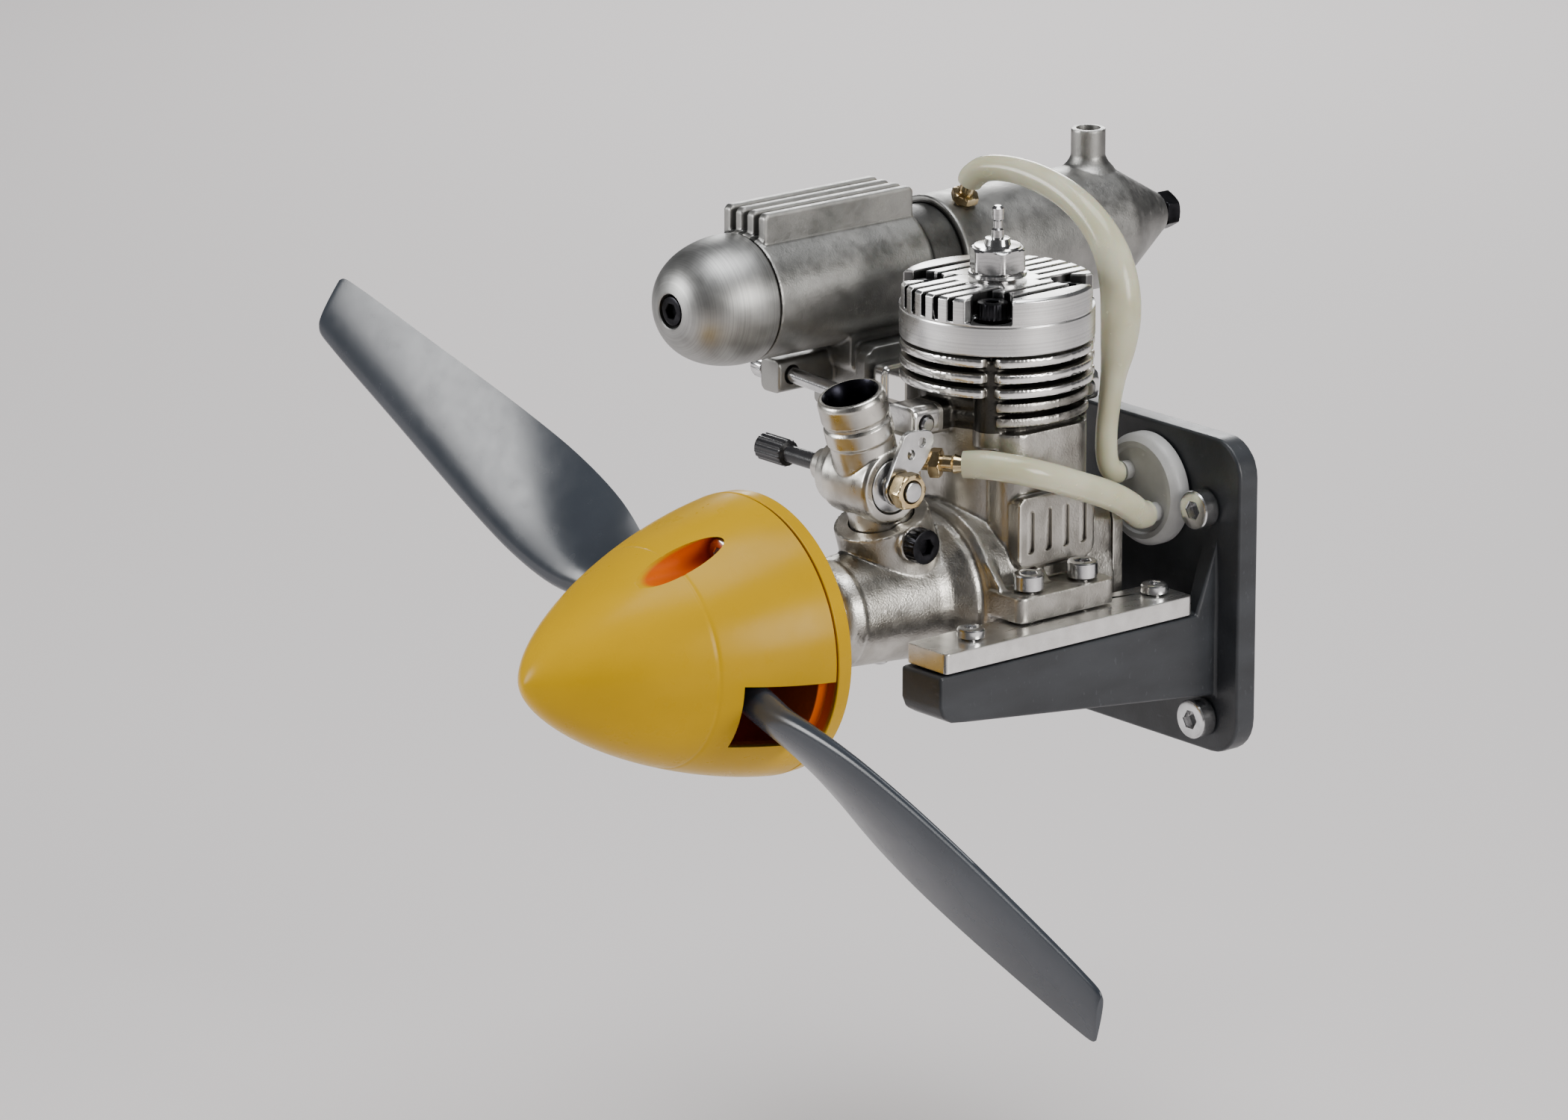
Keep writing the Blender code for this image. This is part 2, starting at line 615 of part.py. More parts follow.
def build_carburettor():
    body = rod("carb_body", 6.0, (-8.0, CARB_B, CARB_Z), (5.2, CARB_B, CARB_Z), 24, (0, 0, 1))
    horn_rows = [(2.0, 5.4), (14.4, 5.4), (15.2, 5.0)]
    mouth_rows = [(3.6, 3.0), (9.0, 3.1), (13.2, 3.65), (16.0, 4.1)]
    join(
        body,
        stack("horn", horn_rows, (0, CARB_B, CARB_Z), RAKE, steps=24),
        rod("spigot", 5.0, rake(-11.4), rake(-3), 18),
        rod("holder", 2.7, (-12.0, CARB_B, CARB_Z), (-7, CARB_B, CARB_Z), 20, (0, 0, 1)),
    )
    cut(
        body,
        rod("barrel_bore", 4.5, (-6.0, CARB_B, CARB_Z), (6.0, CARB_B, CARB_Z), 20, (0, 0, 1)),
        rod("throat", 3.0, rake(-16), rake(4.6), 16),
        stack("mouth", mouth_rows, (0, CARB_B, CARB_Z), RAKE, steps=16),
        rod("needle_way", 1.7, (-13, CARB_B, CARB_Z), (-5, CARB_B, CARB_Z), 16, (0, 0, 1)),
    )
    cut(body, rod("nipple_way", 1.6, (1.0, -21.6, 22.6), (8.0, -16.4, 22.6), 14))
    finish(body, "turned")

    barrel = stack(
        "throttle_barrel",
        [(-5.4, 4.2), (5.1, 4.2), (5.3, 1.6), (10.0, 1.6)],
        (0, CARB_B, CARB_Z), (1, 0, 0), (0, 0, 1), 20,
    )
    cut(barrel, rod("throat", 3.0, rake(-6), rake(6), 16))
    finish(barrel, "steel", BARREL_AXIS)

    outline = []
    for i in range(9):
        angle = math.radians(150 + 240 * i / 8)
        outline.append((CARB_B + 2.9 * math.cos(angle), CARB_Z + 2.9 * math.sin(angle)))
    outline += [(-21.0, 22.6), (-18.8, 26.4), (-20.0, 28.3), (-23.6, 28.6), (-25.4, 26.8)]
    arm = prism("throttle_arm", outline, 6.0, 6.9, "x")
    cut(arm, rod("hole", 1.9, (5, CARB_B, CARB_Z), (8, CARB_B, CARB_Z), 16, (0, 0, 1)))
    finish(arm, "steel", BARREL_AXIS)

    nut = [(7.2, hexagon(5.2)), (9.6, hexagon(5.2)), (9.6, 1.9), (7.2, 1.9)]
    finish(
        stack("throttle_arm_nut", nut, (0, CARB_B, CARB_Z), (1, 0, 0), (0, 0, 1), 18, True),
        "brass",
        BARREL_AXIS,
    )

    needle = stack(
        "needle_valve",
        [(-26.2, 1.9), (-25.9, 2.2), (-19.6, 2.2), (-19.4, 1.35), (-8.0, 1.35), (-6.3, 0.6)],
        (0, CARB_B, CARB_Z), (1, 0, 0), (0, 0, 1), 14,
    )
    finish(needle, "black_steel", BARREL_AXIS)

    way = Vector((7.0, 5.2, 0.0)).normalized()
    start = Vector((2.6, -20.4, 22.6))
    nipple_rows = [(0, 1.25), (3.6, 1.25), (3.6, 2.3), (5.2, 2.3), (5.2, 1.25), (8.4, 1.25)]
    finish(stack("fuel_nipple", nipple_rows, start, way, (0, 0, 1), 16), "brass")

    seat = (8.4, *CLAMP_AT)
    cap_screw("carb_clamp_screw", seat, (-1, 0, 0), 2.8, 2.4, 1.2, 2.7, "black_steel", 1.3)


# ------------------------------------------------------------------- silencer

def build_muffler():
    axis = (MUFFLER_X, 0, MUFFLER_Z)
    inner = MUFFLER_R - MUFFLER_WALL
    dome = [
        (-26.3, MUFFLER_R), (-29.0, MUFFLER_R + 0.1), (-31.6, 9.9), (-34.2, 9.0), (-36.6, 7.5),
        (-38.6, 5.6), (-39.8, 3.9), (-40.2, 2.9), (-37.7, 2.8), (-37.7, 1.8), (-36.2, 1.8),
        (-34.8, 5.6), (-32.6, 7.8), (-30.2, 8.9), (-26.3, inner),
    ]
    finish(stack("muffler_dome", dome, axis, steps=24, closed=True), "cast")

    chamber = stack(
        "muffler_chamber",
        [
            (-26.0, MUFFLER_R), (5.4, MUFFLER_R), (6.4, 9.0), (12.0, 9.0), (12.0, 7.9), (5.2, 7.9),
            (4.4, inner), (-26.0, inner),
        ],
        axis, steps=24, closed=True,
    )
    extra = []
    for k in range(4):
        x = MUFFLER_X + 2.8 * (k - 1.5)
        foot = 9.0 if k in (0, 3) else 9.6
        low = (x - 0.8, -25.2, MUFFLER_Z + foot)
        extra.append(box("fin", low, (x + 0.8, 5.2, MUFFLER_Z + 13.9)))
    join(chamber, *extra)
    shell = rod("shell", inner + 0.5, (MUFFLER_X, -30, MUFFLER_Z), (MUFFLER_X, 12, MUFFLER_Z), 24)
    neck = prism("neck", rounded((0, 29.0), 19.6, 16.0, 2.0), -34.0, -20.2, "x")
    ears = [
        prism("ear", rounded((-31.2, 29.3), 4.6, 5.4, 1.2), -19.9, -7, "b"),
        prism("ear", rounded((-31.2, 29.3), 4.6, 5.4, 1.2), 7, 18.9, "b"),
    ]
    join(neck, *ears)
    cut(neck, shell)
    join(chamber, neck)
    drills = [
        box("passage", (-31.5, -7.2, 24.4), (-19.0, 7.2, 29.6)),
        box("riser", (-31.5, -7.2, 25.0), (-25.0, 7.2, MUFFLER_Z)),
    ]
    for b in MUFFLER_SCREW_B:
        start, end = (-36, b, muffler_screw_at(-36)), (-26, b, muffler_screw_at(-26))
        drills.append(rod("hole", 1.6, start, end, 10))
    cut(chamber, *drills)
    finish(chamber, "cast")

    rear = stack(
        "muffler_rear",
        [
            (12.3, MUFFLER_R), (48.0, MUFFLER_R), (49.6, 9.9), (60.4, 3.7), (61.4, 3.0), (61.4, 1.8),
            (59.4, 1.8), (48.6, 8.8), (47.4, inner), (12.3, inner),
        ],
        axis, steps=24, closed=True,
    )
    shell = rod("shell", inner + 0.4, (MUFFLER_X, 10, MUFFLER_Z), (MUFFLER_X, 64, MUFFLER_Z), 24)
    foot, mouth = (MUFFLER_X, OUTLET_B, MUFFLER_Z + 4), (MUFFLER_X, OUTLET_B, MUFFLER_Z + 16.2)
    outlet = rod("outlet", 2.8, foot, mouth, 16)
    cut(outlet, shell)
    join(rear, outlet)
    way = Vector((0.39, 0, 0.92)).normalized()
    tap = Vector((MUFFLER_X, 16.5, MUFFLER_Z))
    cut(
        rear,
        rod("bore", 2.0, (MUFFLER_X, OUTLET_B, MUFFLER_Z + 4), (MUFFLER_X, OUTLET_B, MUFFLER_Z + 19), 16),
        rod("tap", 1.5, tap + way * 7, tap + way * 13, 16),
    )
    finish(rear, "cast")
    nipple_rows = [(8.6, 1.2), (10.6, 1.2), (10.6, 2.1), (11.5, 2.1), (11.5, 1.25), (13.6, 1.25)]
    finish(stack("pressure_nipple", nipple_rows, tap, way, steps=16), "brass")

    seat = (MUFFLER_X, -38.0, MUFFLER_Z)
    cap_screw("muffler_through_bolt", seat, (0, 1, 0), 2.4, 2.0, 1.4, 102.6, "black_steel", 1.2)
    nut = [(61.7, hexagon(5.5)), (64.4, hexagon(5.5)), (64.4, 1.7), (61.7, 1.7)]
    finish(stack("muffler_nut", nut, axis, steps=18, closed=True), "black_steel")

    for name, b in zip(("muffler_screw_front", "muffler_screw_rear"), MUFFLER_SCREW_B):
        seat = (-34.2, b, muffler_screw_at(-34.2))
        cap_screw(name, seat, (1, 0, -MUFFLER_SCREW_FALL), 2.2, 2.6, 1.25, 38.0, "steel")


# ---------------------------------------------------------------------- mount

def build_mount():
    height = PLATE_TOP - PLATE_BOTTOM
    middle = (PLATE_TOP + PLATE_BOTTOM) / 2
    outline = rounded((0, middle), 2 * PLATE_HALF_WIDTH, height, 6.0, 5)
    mount = prism("engine_mount", outline, PLATE_FRONT, CYLINDER_TO_FIREWALL, "b")
    beams = []
    for side in (-1, 1):
        low, high = sorted((side * BEAM_INNER, side * BEAM_OUTER))
        shape = [
            (-33.0, -4.8), (PLATE_FRONT + 0.5, -4.8), (PLATE_FRONT + 0.5, -18.6), (-31.0, -13.1),
            (-33.0, -11.4),
        ]
        beams.append(prism("beam", shape, low, high, "x"))
        low, high = sorted((side * (BEAM_OUTER - 3.0), side * BEAM_OUTER))
        web = [(19.5, -6.0), (PLATE_FRONT + 0.5, 8.5), (PLATE_FRONT + 0.5, -8.0), (15.5, -8.0)]
        beams.append(prism("web", web, low, high, "x"))
    join(mount, *beams)
    holes = []
    for side in (-1, 1):
        lug_x, bar_x, bolt_x = side * LUG_SCREW_X, side * BAR_SCREW_X, side * FIREWALL_BOLT_X
        holes += [rod("hole", 1.7, (lug_x, b, -20), (lug_x, b, 0), 10) for b in LUG_SCREW_B]
        holes += [rod("hole", 1.5, (bar_x, b, -10.5), (bar_x, b, 0), 10) for b in BAR_SCREW_B]
        holes += [rod("hole", 2.1, (bolt_x, 20, z), (bolt_x, 30, z), 10) for z in FIREWALL_BOLT_Z]
    cut(mount, *holes)
    finish(mount, "nylon")

    for side, label in ((1, "left"), (-1, "right")):
        middle = side * (BEAM_INNER + BEAM_OUTER) / 2
        bar = prism("bar_" + label, rounded((middle, -6.5), 9.3, 51.0, 0.8, 3), -4.5, -1.3, "z")
        cut(bar, *[
            rod("hole", r, (x, b, -6), (x, b, 0), 14)
            for x, places, r in (
                (side * LUG_SCREW_X, LUG_SCREW_B, 1.7), (side * BAR_SCREW_X, BAR_SCREW_B, 1.5),
            )
            for b in places
        ])
        finish(bar, "turned")
        for end, b in zip(("front", "rear"), LUG_SCREW_B):
            seat = (side * LUG_SCREW_X, b, 3.3)
            cap_screw(f"lug_screw_{label}_{end}", seat, (0, 0, -1), 2.4, 2.6, 1.35, 20.0, "steel")
        for end, b in zip(("front", "rear"), BAR_SCREW_B):
            seat = (side * BAR_SCREW_X, b, -1.0)
            cap_screw(f"bar_screw_{label}_{end}", seat, (0, 0, -1), 2.2, 1.5, 1.15, 8.6, "steel")
        for end, z in zip(("upper", "lower"), FIREWALL_BOLT_Z):
            seat = (side * FIREWALL_BOLT_X, PLATE_FRONT - GAP, z)
            cap_screw(f"firewall_bolt_{label}_{end}", seat, (0, 1, 0), 3.1, 2.8, 1.75, 4.0, "steel")

    x, z = FITTING_AT
    fitting = stack("fuel_fitting", [(23.7, 9.0), (21.4, 9.0), (20.6, 8.3)], (x, 0, z), steps=22)
    join(
        fitting,
        rod("nipple", 1.5, (PIPE_UPPER[0], 19.2, PIPE_UPPER[1]), (PIPE_UPPER[0], 22, PIPE_UPPER[1]), 14),
        rod("nipple", 1.5, (PIPE_LOWER[0], 19.2, PIPE_LOWER[1]), (PIPE_LOWER[0], 22, PIPE_LOWER[1]), 14),
    )
    finish(fitting, "grey_plastic")


# ----------------------------------------------------------------- soft lines

PRESSURE_ROUTE = [
    (-25.4, 16.5, 55.9), (-24.6, 16.5, 57.0), (-21.8, 16.8, 58.7), (-17.0, 17.4, 59.4),
    (-11.0, 18.0, 59.0), (-4.8, 18.4, 57.5), (0.8, 18.7, 54.6), (5.0, 18.9, 50.4), (7.2, 18.9, 45.4),
    (7.9, 18.7, 40.4), (7.7, 18.4, 35.4), (7.3, 17.9, 31.0), (7.0, 17.4, 26.6), (6.9, 16.9, 22.4),
    (7.2, 16.6, 18.8), (7.5, 16.9, 16.4), (7.6, 17.8, 15.2), (7.6, 18.9, 15.0),
]
PRESSURE_WIDTH = [
    2.0, 2.1, 2.1, 2.1, 2.2, 2.3, 2.5, 2.8, 3.1, 3.2, 2.8, 2.1, 1.8, 1.75, 1.75, 1.75, 1.75, 1.75,
]
FUEL_ROUTE = [
    (9.6, -15.2, 22.6), (12.0, -13.2, 22.7), (14.8, -10.6, 22.3), (16.7, -7.2, 21.3), (17.6, -3.0, 19.8),
    (17.8, 1.4, 18.0), (17.7, 5.8, 16.2), (17.4, 9.8, 14.3), (16.6, 13.2, 12.3), (15.4, 15.8, 10.6),
    (14.5, 17.5, 9.8), (14.2, 18.9, 9.6),
]
FUEL_WIDTH = [2.1] + [2.25] * 10 + [2.1]


def smooth(points, t):
    """A point on the smooth curve through the route."""
    k = min(int(t), len(points) - 2)
    f = t - k
    near = [points[min(max(k + i, 0), len(points) - 1)] for i in (-1, 0, 1, 2)]
    out = []
    for a, b, c, d in zip(*near):
        square, cube = 2 * a - 5 * b + 4 * c - d, 3 * b - a - 3 * c + d
        out.append(0.5 * (2 * b + (c - a) * f + square * f ** 2 + cube * f ** 3))
    return out


def build_line(name, route, widths, count):
    """A flexible line as one filled tube."""
    curve = bpy.data.curves.new(name, "CURVE")
    curve.dimensions = "3D"
    curve.bevel_depth = 0.001
    curve.bevel_resolution = 2
    curve.use_fill_caps = True
    spline = curve.splines.new("POLY")
    spline.points.add(count - 1)
    rows = [(*p, w) for p, w in zip(route, widths)]
    for i in range(count):
        x, b, z, width = smooth(rows, (len(rows) - 1) * i / (count - 1))
        spline.points[i].co = (*metres((x, b, z)), 1.0)
        spline.points[i].radius = width
    obj = bpy.data.objects.new(name, curve)
    bpy.context.collection.objects.link(obj)
    curve.materials.append(paint(name, *SURFACES["silicone"]))


build_engine()
build_crank_train()
build_propeller()
build_carburettor()
build_muffler()
build_mount()
build_line("pressure_line", PRESSURE_ROUTE, PRESSURE_WIDTH, 30)
build_line("fuel_line", FUEL_ROUTE, FUEL_WIDTH, 16)
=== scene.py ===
"""Visual model of a model two-stroke glow engine on its beam mount.
"""
import json
from math import atan, cos, degrees, exp, pi, radians, sin, sqrt

import bmesh
import bpy
from mathutils import Matrix, Vector


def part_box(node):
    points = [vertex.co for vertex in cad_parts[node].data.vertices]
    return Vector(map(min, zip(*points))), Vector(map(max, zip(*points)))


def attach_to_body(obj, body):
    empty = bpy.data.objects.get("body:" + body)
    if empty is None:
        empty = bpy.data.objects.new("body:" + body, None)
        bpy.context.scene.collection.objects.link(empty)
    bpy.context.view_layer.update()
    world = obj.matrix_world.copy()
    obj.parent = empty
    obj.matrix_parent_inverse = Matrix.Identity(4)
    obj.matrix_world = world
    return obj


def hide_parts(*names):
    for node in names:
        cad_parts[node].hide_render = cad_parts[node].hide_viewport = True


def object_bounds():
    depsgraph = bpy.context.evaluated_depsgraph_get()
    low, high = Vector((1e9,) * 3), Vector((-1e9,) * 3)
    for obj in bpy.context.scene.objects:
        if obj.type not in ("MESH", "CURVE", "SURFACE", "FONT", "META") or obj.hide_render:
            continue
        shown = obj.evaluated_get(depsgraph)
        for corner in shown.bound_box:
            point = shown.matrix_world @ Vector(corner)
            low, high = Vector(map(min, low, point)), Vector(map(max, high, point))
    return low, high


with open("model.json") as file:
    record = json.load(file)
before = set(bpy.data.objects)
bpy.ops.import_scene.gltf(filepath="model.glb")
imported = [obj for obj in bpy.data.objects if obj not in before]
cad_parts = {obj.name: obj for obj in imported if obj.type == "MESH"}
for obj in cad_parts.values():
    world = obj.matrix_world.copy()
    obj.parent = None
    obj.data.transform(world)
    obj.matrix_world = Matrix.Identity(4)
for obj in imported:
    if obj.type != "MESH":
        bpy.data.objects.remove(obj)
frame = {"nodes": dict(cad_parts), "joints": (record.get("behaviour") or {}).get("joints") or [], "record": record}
cad_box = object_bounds()

BODY_OF = {node: body for body, nodes in frame["record"]["behaviour"]["bodies"].items() for node in nodes}
JOINT_AT = {joint["name"]: Vector(joint["pos_m"]) * 1000 for joint in frame["joints"]}
CYLINDER = Vector((0, JOINT_AT["crank_spin"].y, 0))
TO_FRAME = Matrix.Scale(0.001, 4) @ Matrix.Translation(CYLINDER)


class Span:
    """The box of a CAD node, in the engine's millimetre frame."""

    def __init__(self, node):
        self.low, self.high = (p * 1000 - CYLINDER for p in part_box(node))
        self.mid = (self.low + self.high) / 2
        self.size = self.high - self.low
        self.x, self.b, self.z = zip(self.low, self.high)


AT = {node: Span(node) for node in frame["nodes"]}

# sizes read from the frame
FIN_R = AT["cylinder_head"].size.x / 2
HEAD_LOW, HEAD_HIGH = AT["cylinder_head"].z
DECK_Z = AT["cylinder_liner"].high.z + 0.1
LINER_R = AT["cylinder_liner"].size.x / 2
NOSE_END = AT["crankcase"].low.y
CASE_REAR = AT["backplate"].high.y - 2.4
LUG_X = AT["crankcase"].high.x
THROW = JOINT_AT["piston_stroke"].z
CARB_B, CARB_Z = JOINT_AT["throttle_turn"].y - CYLINDER.y, JOINT_AT["throttle_turn"].z
CLAMP_AT = tuple(AT["carb_clamp_screw"].mid)[1:]
MUFFLER_X, MUFFLER_Z = AT["muffler_nut"].mid.x, AT["muffler_nut"].mid.z
MUFFLER_R = AT["muffler_rear"].size.x / 2
SILENCER_SCREW_B = [AT["muffler_screw_" + end].mid.y for end in ("front", "rear")]
SPINNER_BASE = AT["spinner_backplate"].high.y - 0.1
SPINNER_TIP = AT["spinner_cone"].low.y
SPINNER_LENGTH = SPINNER_BASE - SPINNER_TIP
CONE_BASE = AT["spinner_cone"].high.y
PROP_MID = (AT["spinner_backplate"].low.y + AT["prop_washer"].high.y) / 2

# sizes of details that no box shows
GAP = 0.3
CASE_R = 14.3
CASE_FRONT = -13.5
COVER_SHAPE = ((0, 0), 27, 27, 4.5)
COVER_SCREW_AT = 10.2
CHAMBER_R = 12.3
NECK_R = 12
FINS_FROM = 26.6
FIN_PITCH = 2.4
FIN_THICK = 1.4
SHORT_FIN_R = 14.5
SHAFT_R = 4.5
THREAD_R = 2.4
PIN_R = 2
WRIST_R = 1.9
HEAD_SCREW_AT = 8
POCKET_Z = 44
PLUG_SEAT_R = 6.4
LUG_MID = -3.45
PAD_X, PAD_MID = 14.6, (-0.2, 11)
HOLE_R = {"lug_screw": 1.7, "bar_screw": 1.5}
PORT_LOW, PORT_HIGH = 24.4, 29.6
CARB_RAKE = radians(17)
FUEL_TAP_Z = 22.6
WALL = 1.05
SILENCER_FIN_PITCH = 2.8
SPINNER_R = 22.25
OGIVE = (1.5, 0.65)
SEAM_SHARE = 0.474
PROP_TURN = radians(-21.3)
PROP_PITCH = 127
PROP_R = 98.5
SCREW_Z, SCREW_FALL = 28.1, 0.045

# directions, and the axes that pieces are turned on
UP, DOWN, BACK, ACROSS = (0, 0, 1), (0, 0, -1), (0, 1, 0), (1, 0, 0)
RAKE = (0, -sin(CARB_RAKE), cos(CARB_RAKE))
CRANK_LINE = (0, 0, 0)
MUFFLER_LINE = (MUFFLER_X, 0, MUFFLER_Z)
CARB_LINE = (0, CARB_B, CARB_Z)
CORNERS = [(-1, -1), (-1, 1), (1, -1), (1, 1)]
HEAD_SCREWS = [(x * HEAD_SCREW_AT, b * HEAD_SCREW_AT) for x, b in CORNERS]
COVER_SCREWS = [(x * COVER_SCREW_AT, z * COVER_SCREW_AT) for x, z in CORNERS]


# ---- shapes

def put_in_scene(name, data):
    """An object for a mesh, a camera or a light."""
    obj = bpy.data.objects.new(name, data)
    bpy.context.scene.collection.objects.link(obj)
    return obj


def solid(verts, faces):
    """A closed mesh object with its faces pointing out."""
    mesh = bpy.data.meshes.new("solid")
    mesh.from_pydata([tuple(v) for v in verts], [], faces)
    work = bmesh.new()
    work.from_mesh(mesh)
    bmesh.ops.recalc_face_normals(work, faces=work.faces)
    work.to_mesh(mesh)
    work.free()
    return put_in_scene("solid", mesh)


def strips(rings, looped=False):
    """Faces between neighbouring rings of point numbers; a ring of one repeated point makes triangles."""
    faces = []
    for low, high in [*zip(rings, rings[1:])] + [(rings[-1], rings[0])] * looped:
        for i in range(len(low)):
            j = (i + 1) % len(low)
            faces.append(tuple(dict.fromkeys((low[i], low[j], high[j], high[i]))))
    return faces


def circle(centre, u, v, radius, steps):
    """Points round a centre in the plane of two directions; the radius may depend on the angle."""
    points = []
    for i in range(steps):
        a = 2 * pi * i / steps
        r = radius(a) if callable(radius) else radius
        points.append(centre + (u * cos(a) + v * sin(a)) * r)
    return points


def eased(rows, radius, closed):
    """A turned outline with its corners broken by small arcs."""
    out = []
    for i, row in enumerate(rows):
        if not closed and i in (0, len(rows) - 1):
            out.append(row)
            continue
        here = Vector(row)
        back, on = Vector(rows[i - 1]) - here, Vector(rows[(i + 1) % len(rows)]) - here
        reach = min(radius, 0.45 * back.length, 0.45 * on.length)
        first, last = here + back.normalized() * reach, here + on.normalized() * reach
        for t in (0, 1 / 3, 2 / 3, 1):
            out.append(tuple(first * (1 - t) ** 2 + here * 2 * t * (1 - t) + last * t * t))
    return out


def lathe(rows, origin=CRANK_LINE, along=BACK, side=ACROSS, steps=96, closed=False, ease=0):
    """A turned solid: each row is (distance along the axis, radius); an open outline gets end faces."""
    if not closed:
        first, last = rows[0], rows[-1]
        rows = ([(first[0], 0)] if first[1] else []) + list(rows) + ([(last[0], 0)] if last[1] else [])
    if ease:
        rows = eased(rows, ease, closed)
    axis = Vector(along).normalized()
    u = Vector(side)
    u = (u - axis * u.dot(axis)).normalized()
    verts, rings = [], []
    for distance, radius in rows:
        centre = Vector(origin) + axis * distance
        points = circle(centre, u, axis.cross(u), radius, steps) if radius else [centre]
        rings.append([*range(len(verts), len(verts) + len(points))] * (steps // len(points)))
        verts += points
    return solid(verts, strips(rings, closed))


def rod(radius, start, end, steps=48, side=(1, 0, 0.01)):
    """A plain cylinder between two points."""
    line = Vector(end) - Vector(start)
    return lathe([(0, radius), (line.length, radius)], start, line, side, steps)


def upright(radius, x, b, low, high, steps=48):
    """A plain cylinder along z, at a place in x and b."""
    return rod(radius, (x, b, low), (x, b, high), steps)


def level(radius, x, z, low, high, steps=48):
    """A plain cylinder along b, at a place in x and z."""
    return rod(radius, (x, low, z), (x, high, z), steps)


def sideways(radius, b, z, low, high, steps=48):
    """A plain cylinder along x, at a place in b and z."""
    return rod(radius, (low, b, z), (high, b, z), steps)


def pipe(low, high, one, other, **placing):
    """A turned ring between two radii."""
    return lathe([(low, one), (high, one), (high, other), (low, other)], closed=True, **placing)


def loft(sections):
    """A skin over sections of equal point count, closed at both ends."""
    count = len(sections[0])
    verts = [p for section in sections for p in section]
    rings = [range(k, k + count) for k in range(0, len(verts), count)]
    return solid(verts, [tuple(rings[0]), tuple(rings[-1]), *strips(rings)])


def prism(axis, low, high, outline):
    """An outline pushed along one axis; the outline is given in the two other axes."""
    k = "xbz".index(axis)
    return loft([[(*p[:k], w, *p[k:]) for p in outline] for w in (low, high)])


def box(low, high):
    """A plain block between two corners."""
    return prism("z", low[2], high[2], [low[:2], (high[0], low[1]), high[:2], (low[0], high[1])])


def slab(axis, low, high, centre, width, height, radius):
    """A block along one axis, with its four edges rounded."""
    points = []
    for k, (sx, sy) in enumerate(((1, 1), (-1, 1), (-1, -1), (1, -1))):
        cx = centre[0] + sx * (width / 2 - radius)
        cy = centre[1] + sy * (height / 2 - radius)
        for i in range(8):
            a = radians(90 * (k + i / 7))
            points.append((cx + radius * cos(a), cy + radius * sin(a)))
    return prism(axis, low, high, points)


def hexagon(across_flats, limit=99):
    """The radius of a hexagon at an angle, no more than a limit."""
    def radius(angle):
        turn = (angle + pi / 6) % (pi / 3) - pi / 6
        return min(across_flats / 2 / cos(turn), limit)
    return radius


def chamfered_hex(low, high, across_flats):
    """Rows of a nut's outside, with the corners of both faces turned off."""
    slope = [(k * 0.11, hexagon(across_flats, across_flats * 0.49 + k * 0.11 * 1.75)) for k in range(4)]
    return [(low + d, edge) for d, edge in slope] + [(high - d, edge) for d, edge in reversed(slope)]


def modify(obj, kind, **settings):
    """Put a modifier with its settings on an object."""
    step = obj.modifiers.new(kind, kind)
    for key, value in settings.items():
        setattr(step, key, value)


def settle(obj):
    """Turn an object's modifiers into its mesh."""
    bpy.context.view_layer.update()
    graph = bpy.context.evaluated_depsgraph_get()
    mesh = bpy.data.meshes.new_from_object(obj.evaluated_get(graph))
    obj.modifiers.clear()
    obj.data = mesh
    return obj


def combine(target, operation, tools, solver):
    """Join tools to a solid, or cut them out of it, and clear them away."""
    for tool in tools:
        modify(target, "BOOLEAN", operation=operation, solver=solver, object=tool)
    settle(target)
    for tool in tools:
        bpy.data.objects.remove(tool)
    return target


def join(target, *tools, solver="MANIFOLD"):
    return combine(target, "UNION", tools, solver)


def cut(target, *tools, solver="MANIFOLD"):
    return combine(target, "DIFFERENCE", tools, solver)


def melt(target, *others, voxel=0.27, passes=2):
    """One skin over overlapping shapes, with the soft corners of a casting."""
    work = bmesh.new()
    for obj in (target, *others):
        work.from_mesh(obj.data)
    work.to_mesh(target.data)
    work.free()
    for obj in others:
        bpy.data.objects.remove(obj)
    modify(target, "REMESH", mode="VOXEL", voxel_size=voxel)
    modify(target, "SMOOTH", factor=0.5, iterations=passes)
    return settle(target)


def bevel(obj, width, segments=2, degrees=35):
    """Break the sharp edges of a solid."""
    modify(
        obj, "BEVEL", width=width, segments=segments, limit_method="ANGLE", angle_limit=radians(degrees),
        use_clamp_overlap=False,
    )
    return settle(obj)


def attach(obj, node):
    """Name a piece, and put it on its body in place of its CAD node."""
    obj.name = node + "_visual"
    obj.data.name = obj.name
    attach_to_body(obj, BODY_OF[node])
    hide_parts(node)


def finish(obj, node, look, sharp=38):
    """Bring a shape into the part's frame; its wide faces lead the shading, so that flats stay flat."""
    obj.data.transform(TO_FRAME)
    obj.data.materials.clear()
    obj.data.materials.append(look.material)
    obj.data.shade_smooth()
    obj.data.set_sharp_from_angle(angle=radians(sharp))
    modify(obj, "WEIGHTED_NORMAL", mode="FACE_AREA", keep_sharp=True)
    attach(settle(obj), node)


# ---- materials

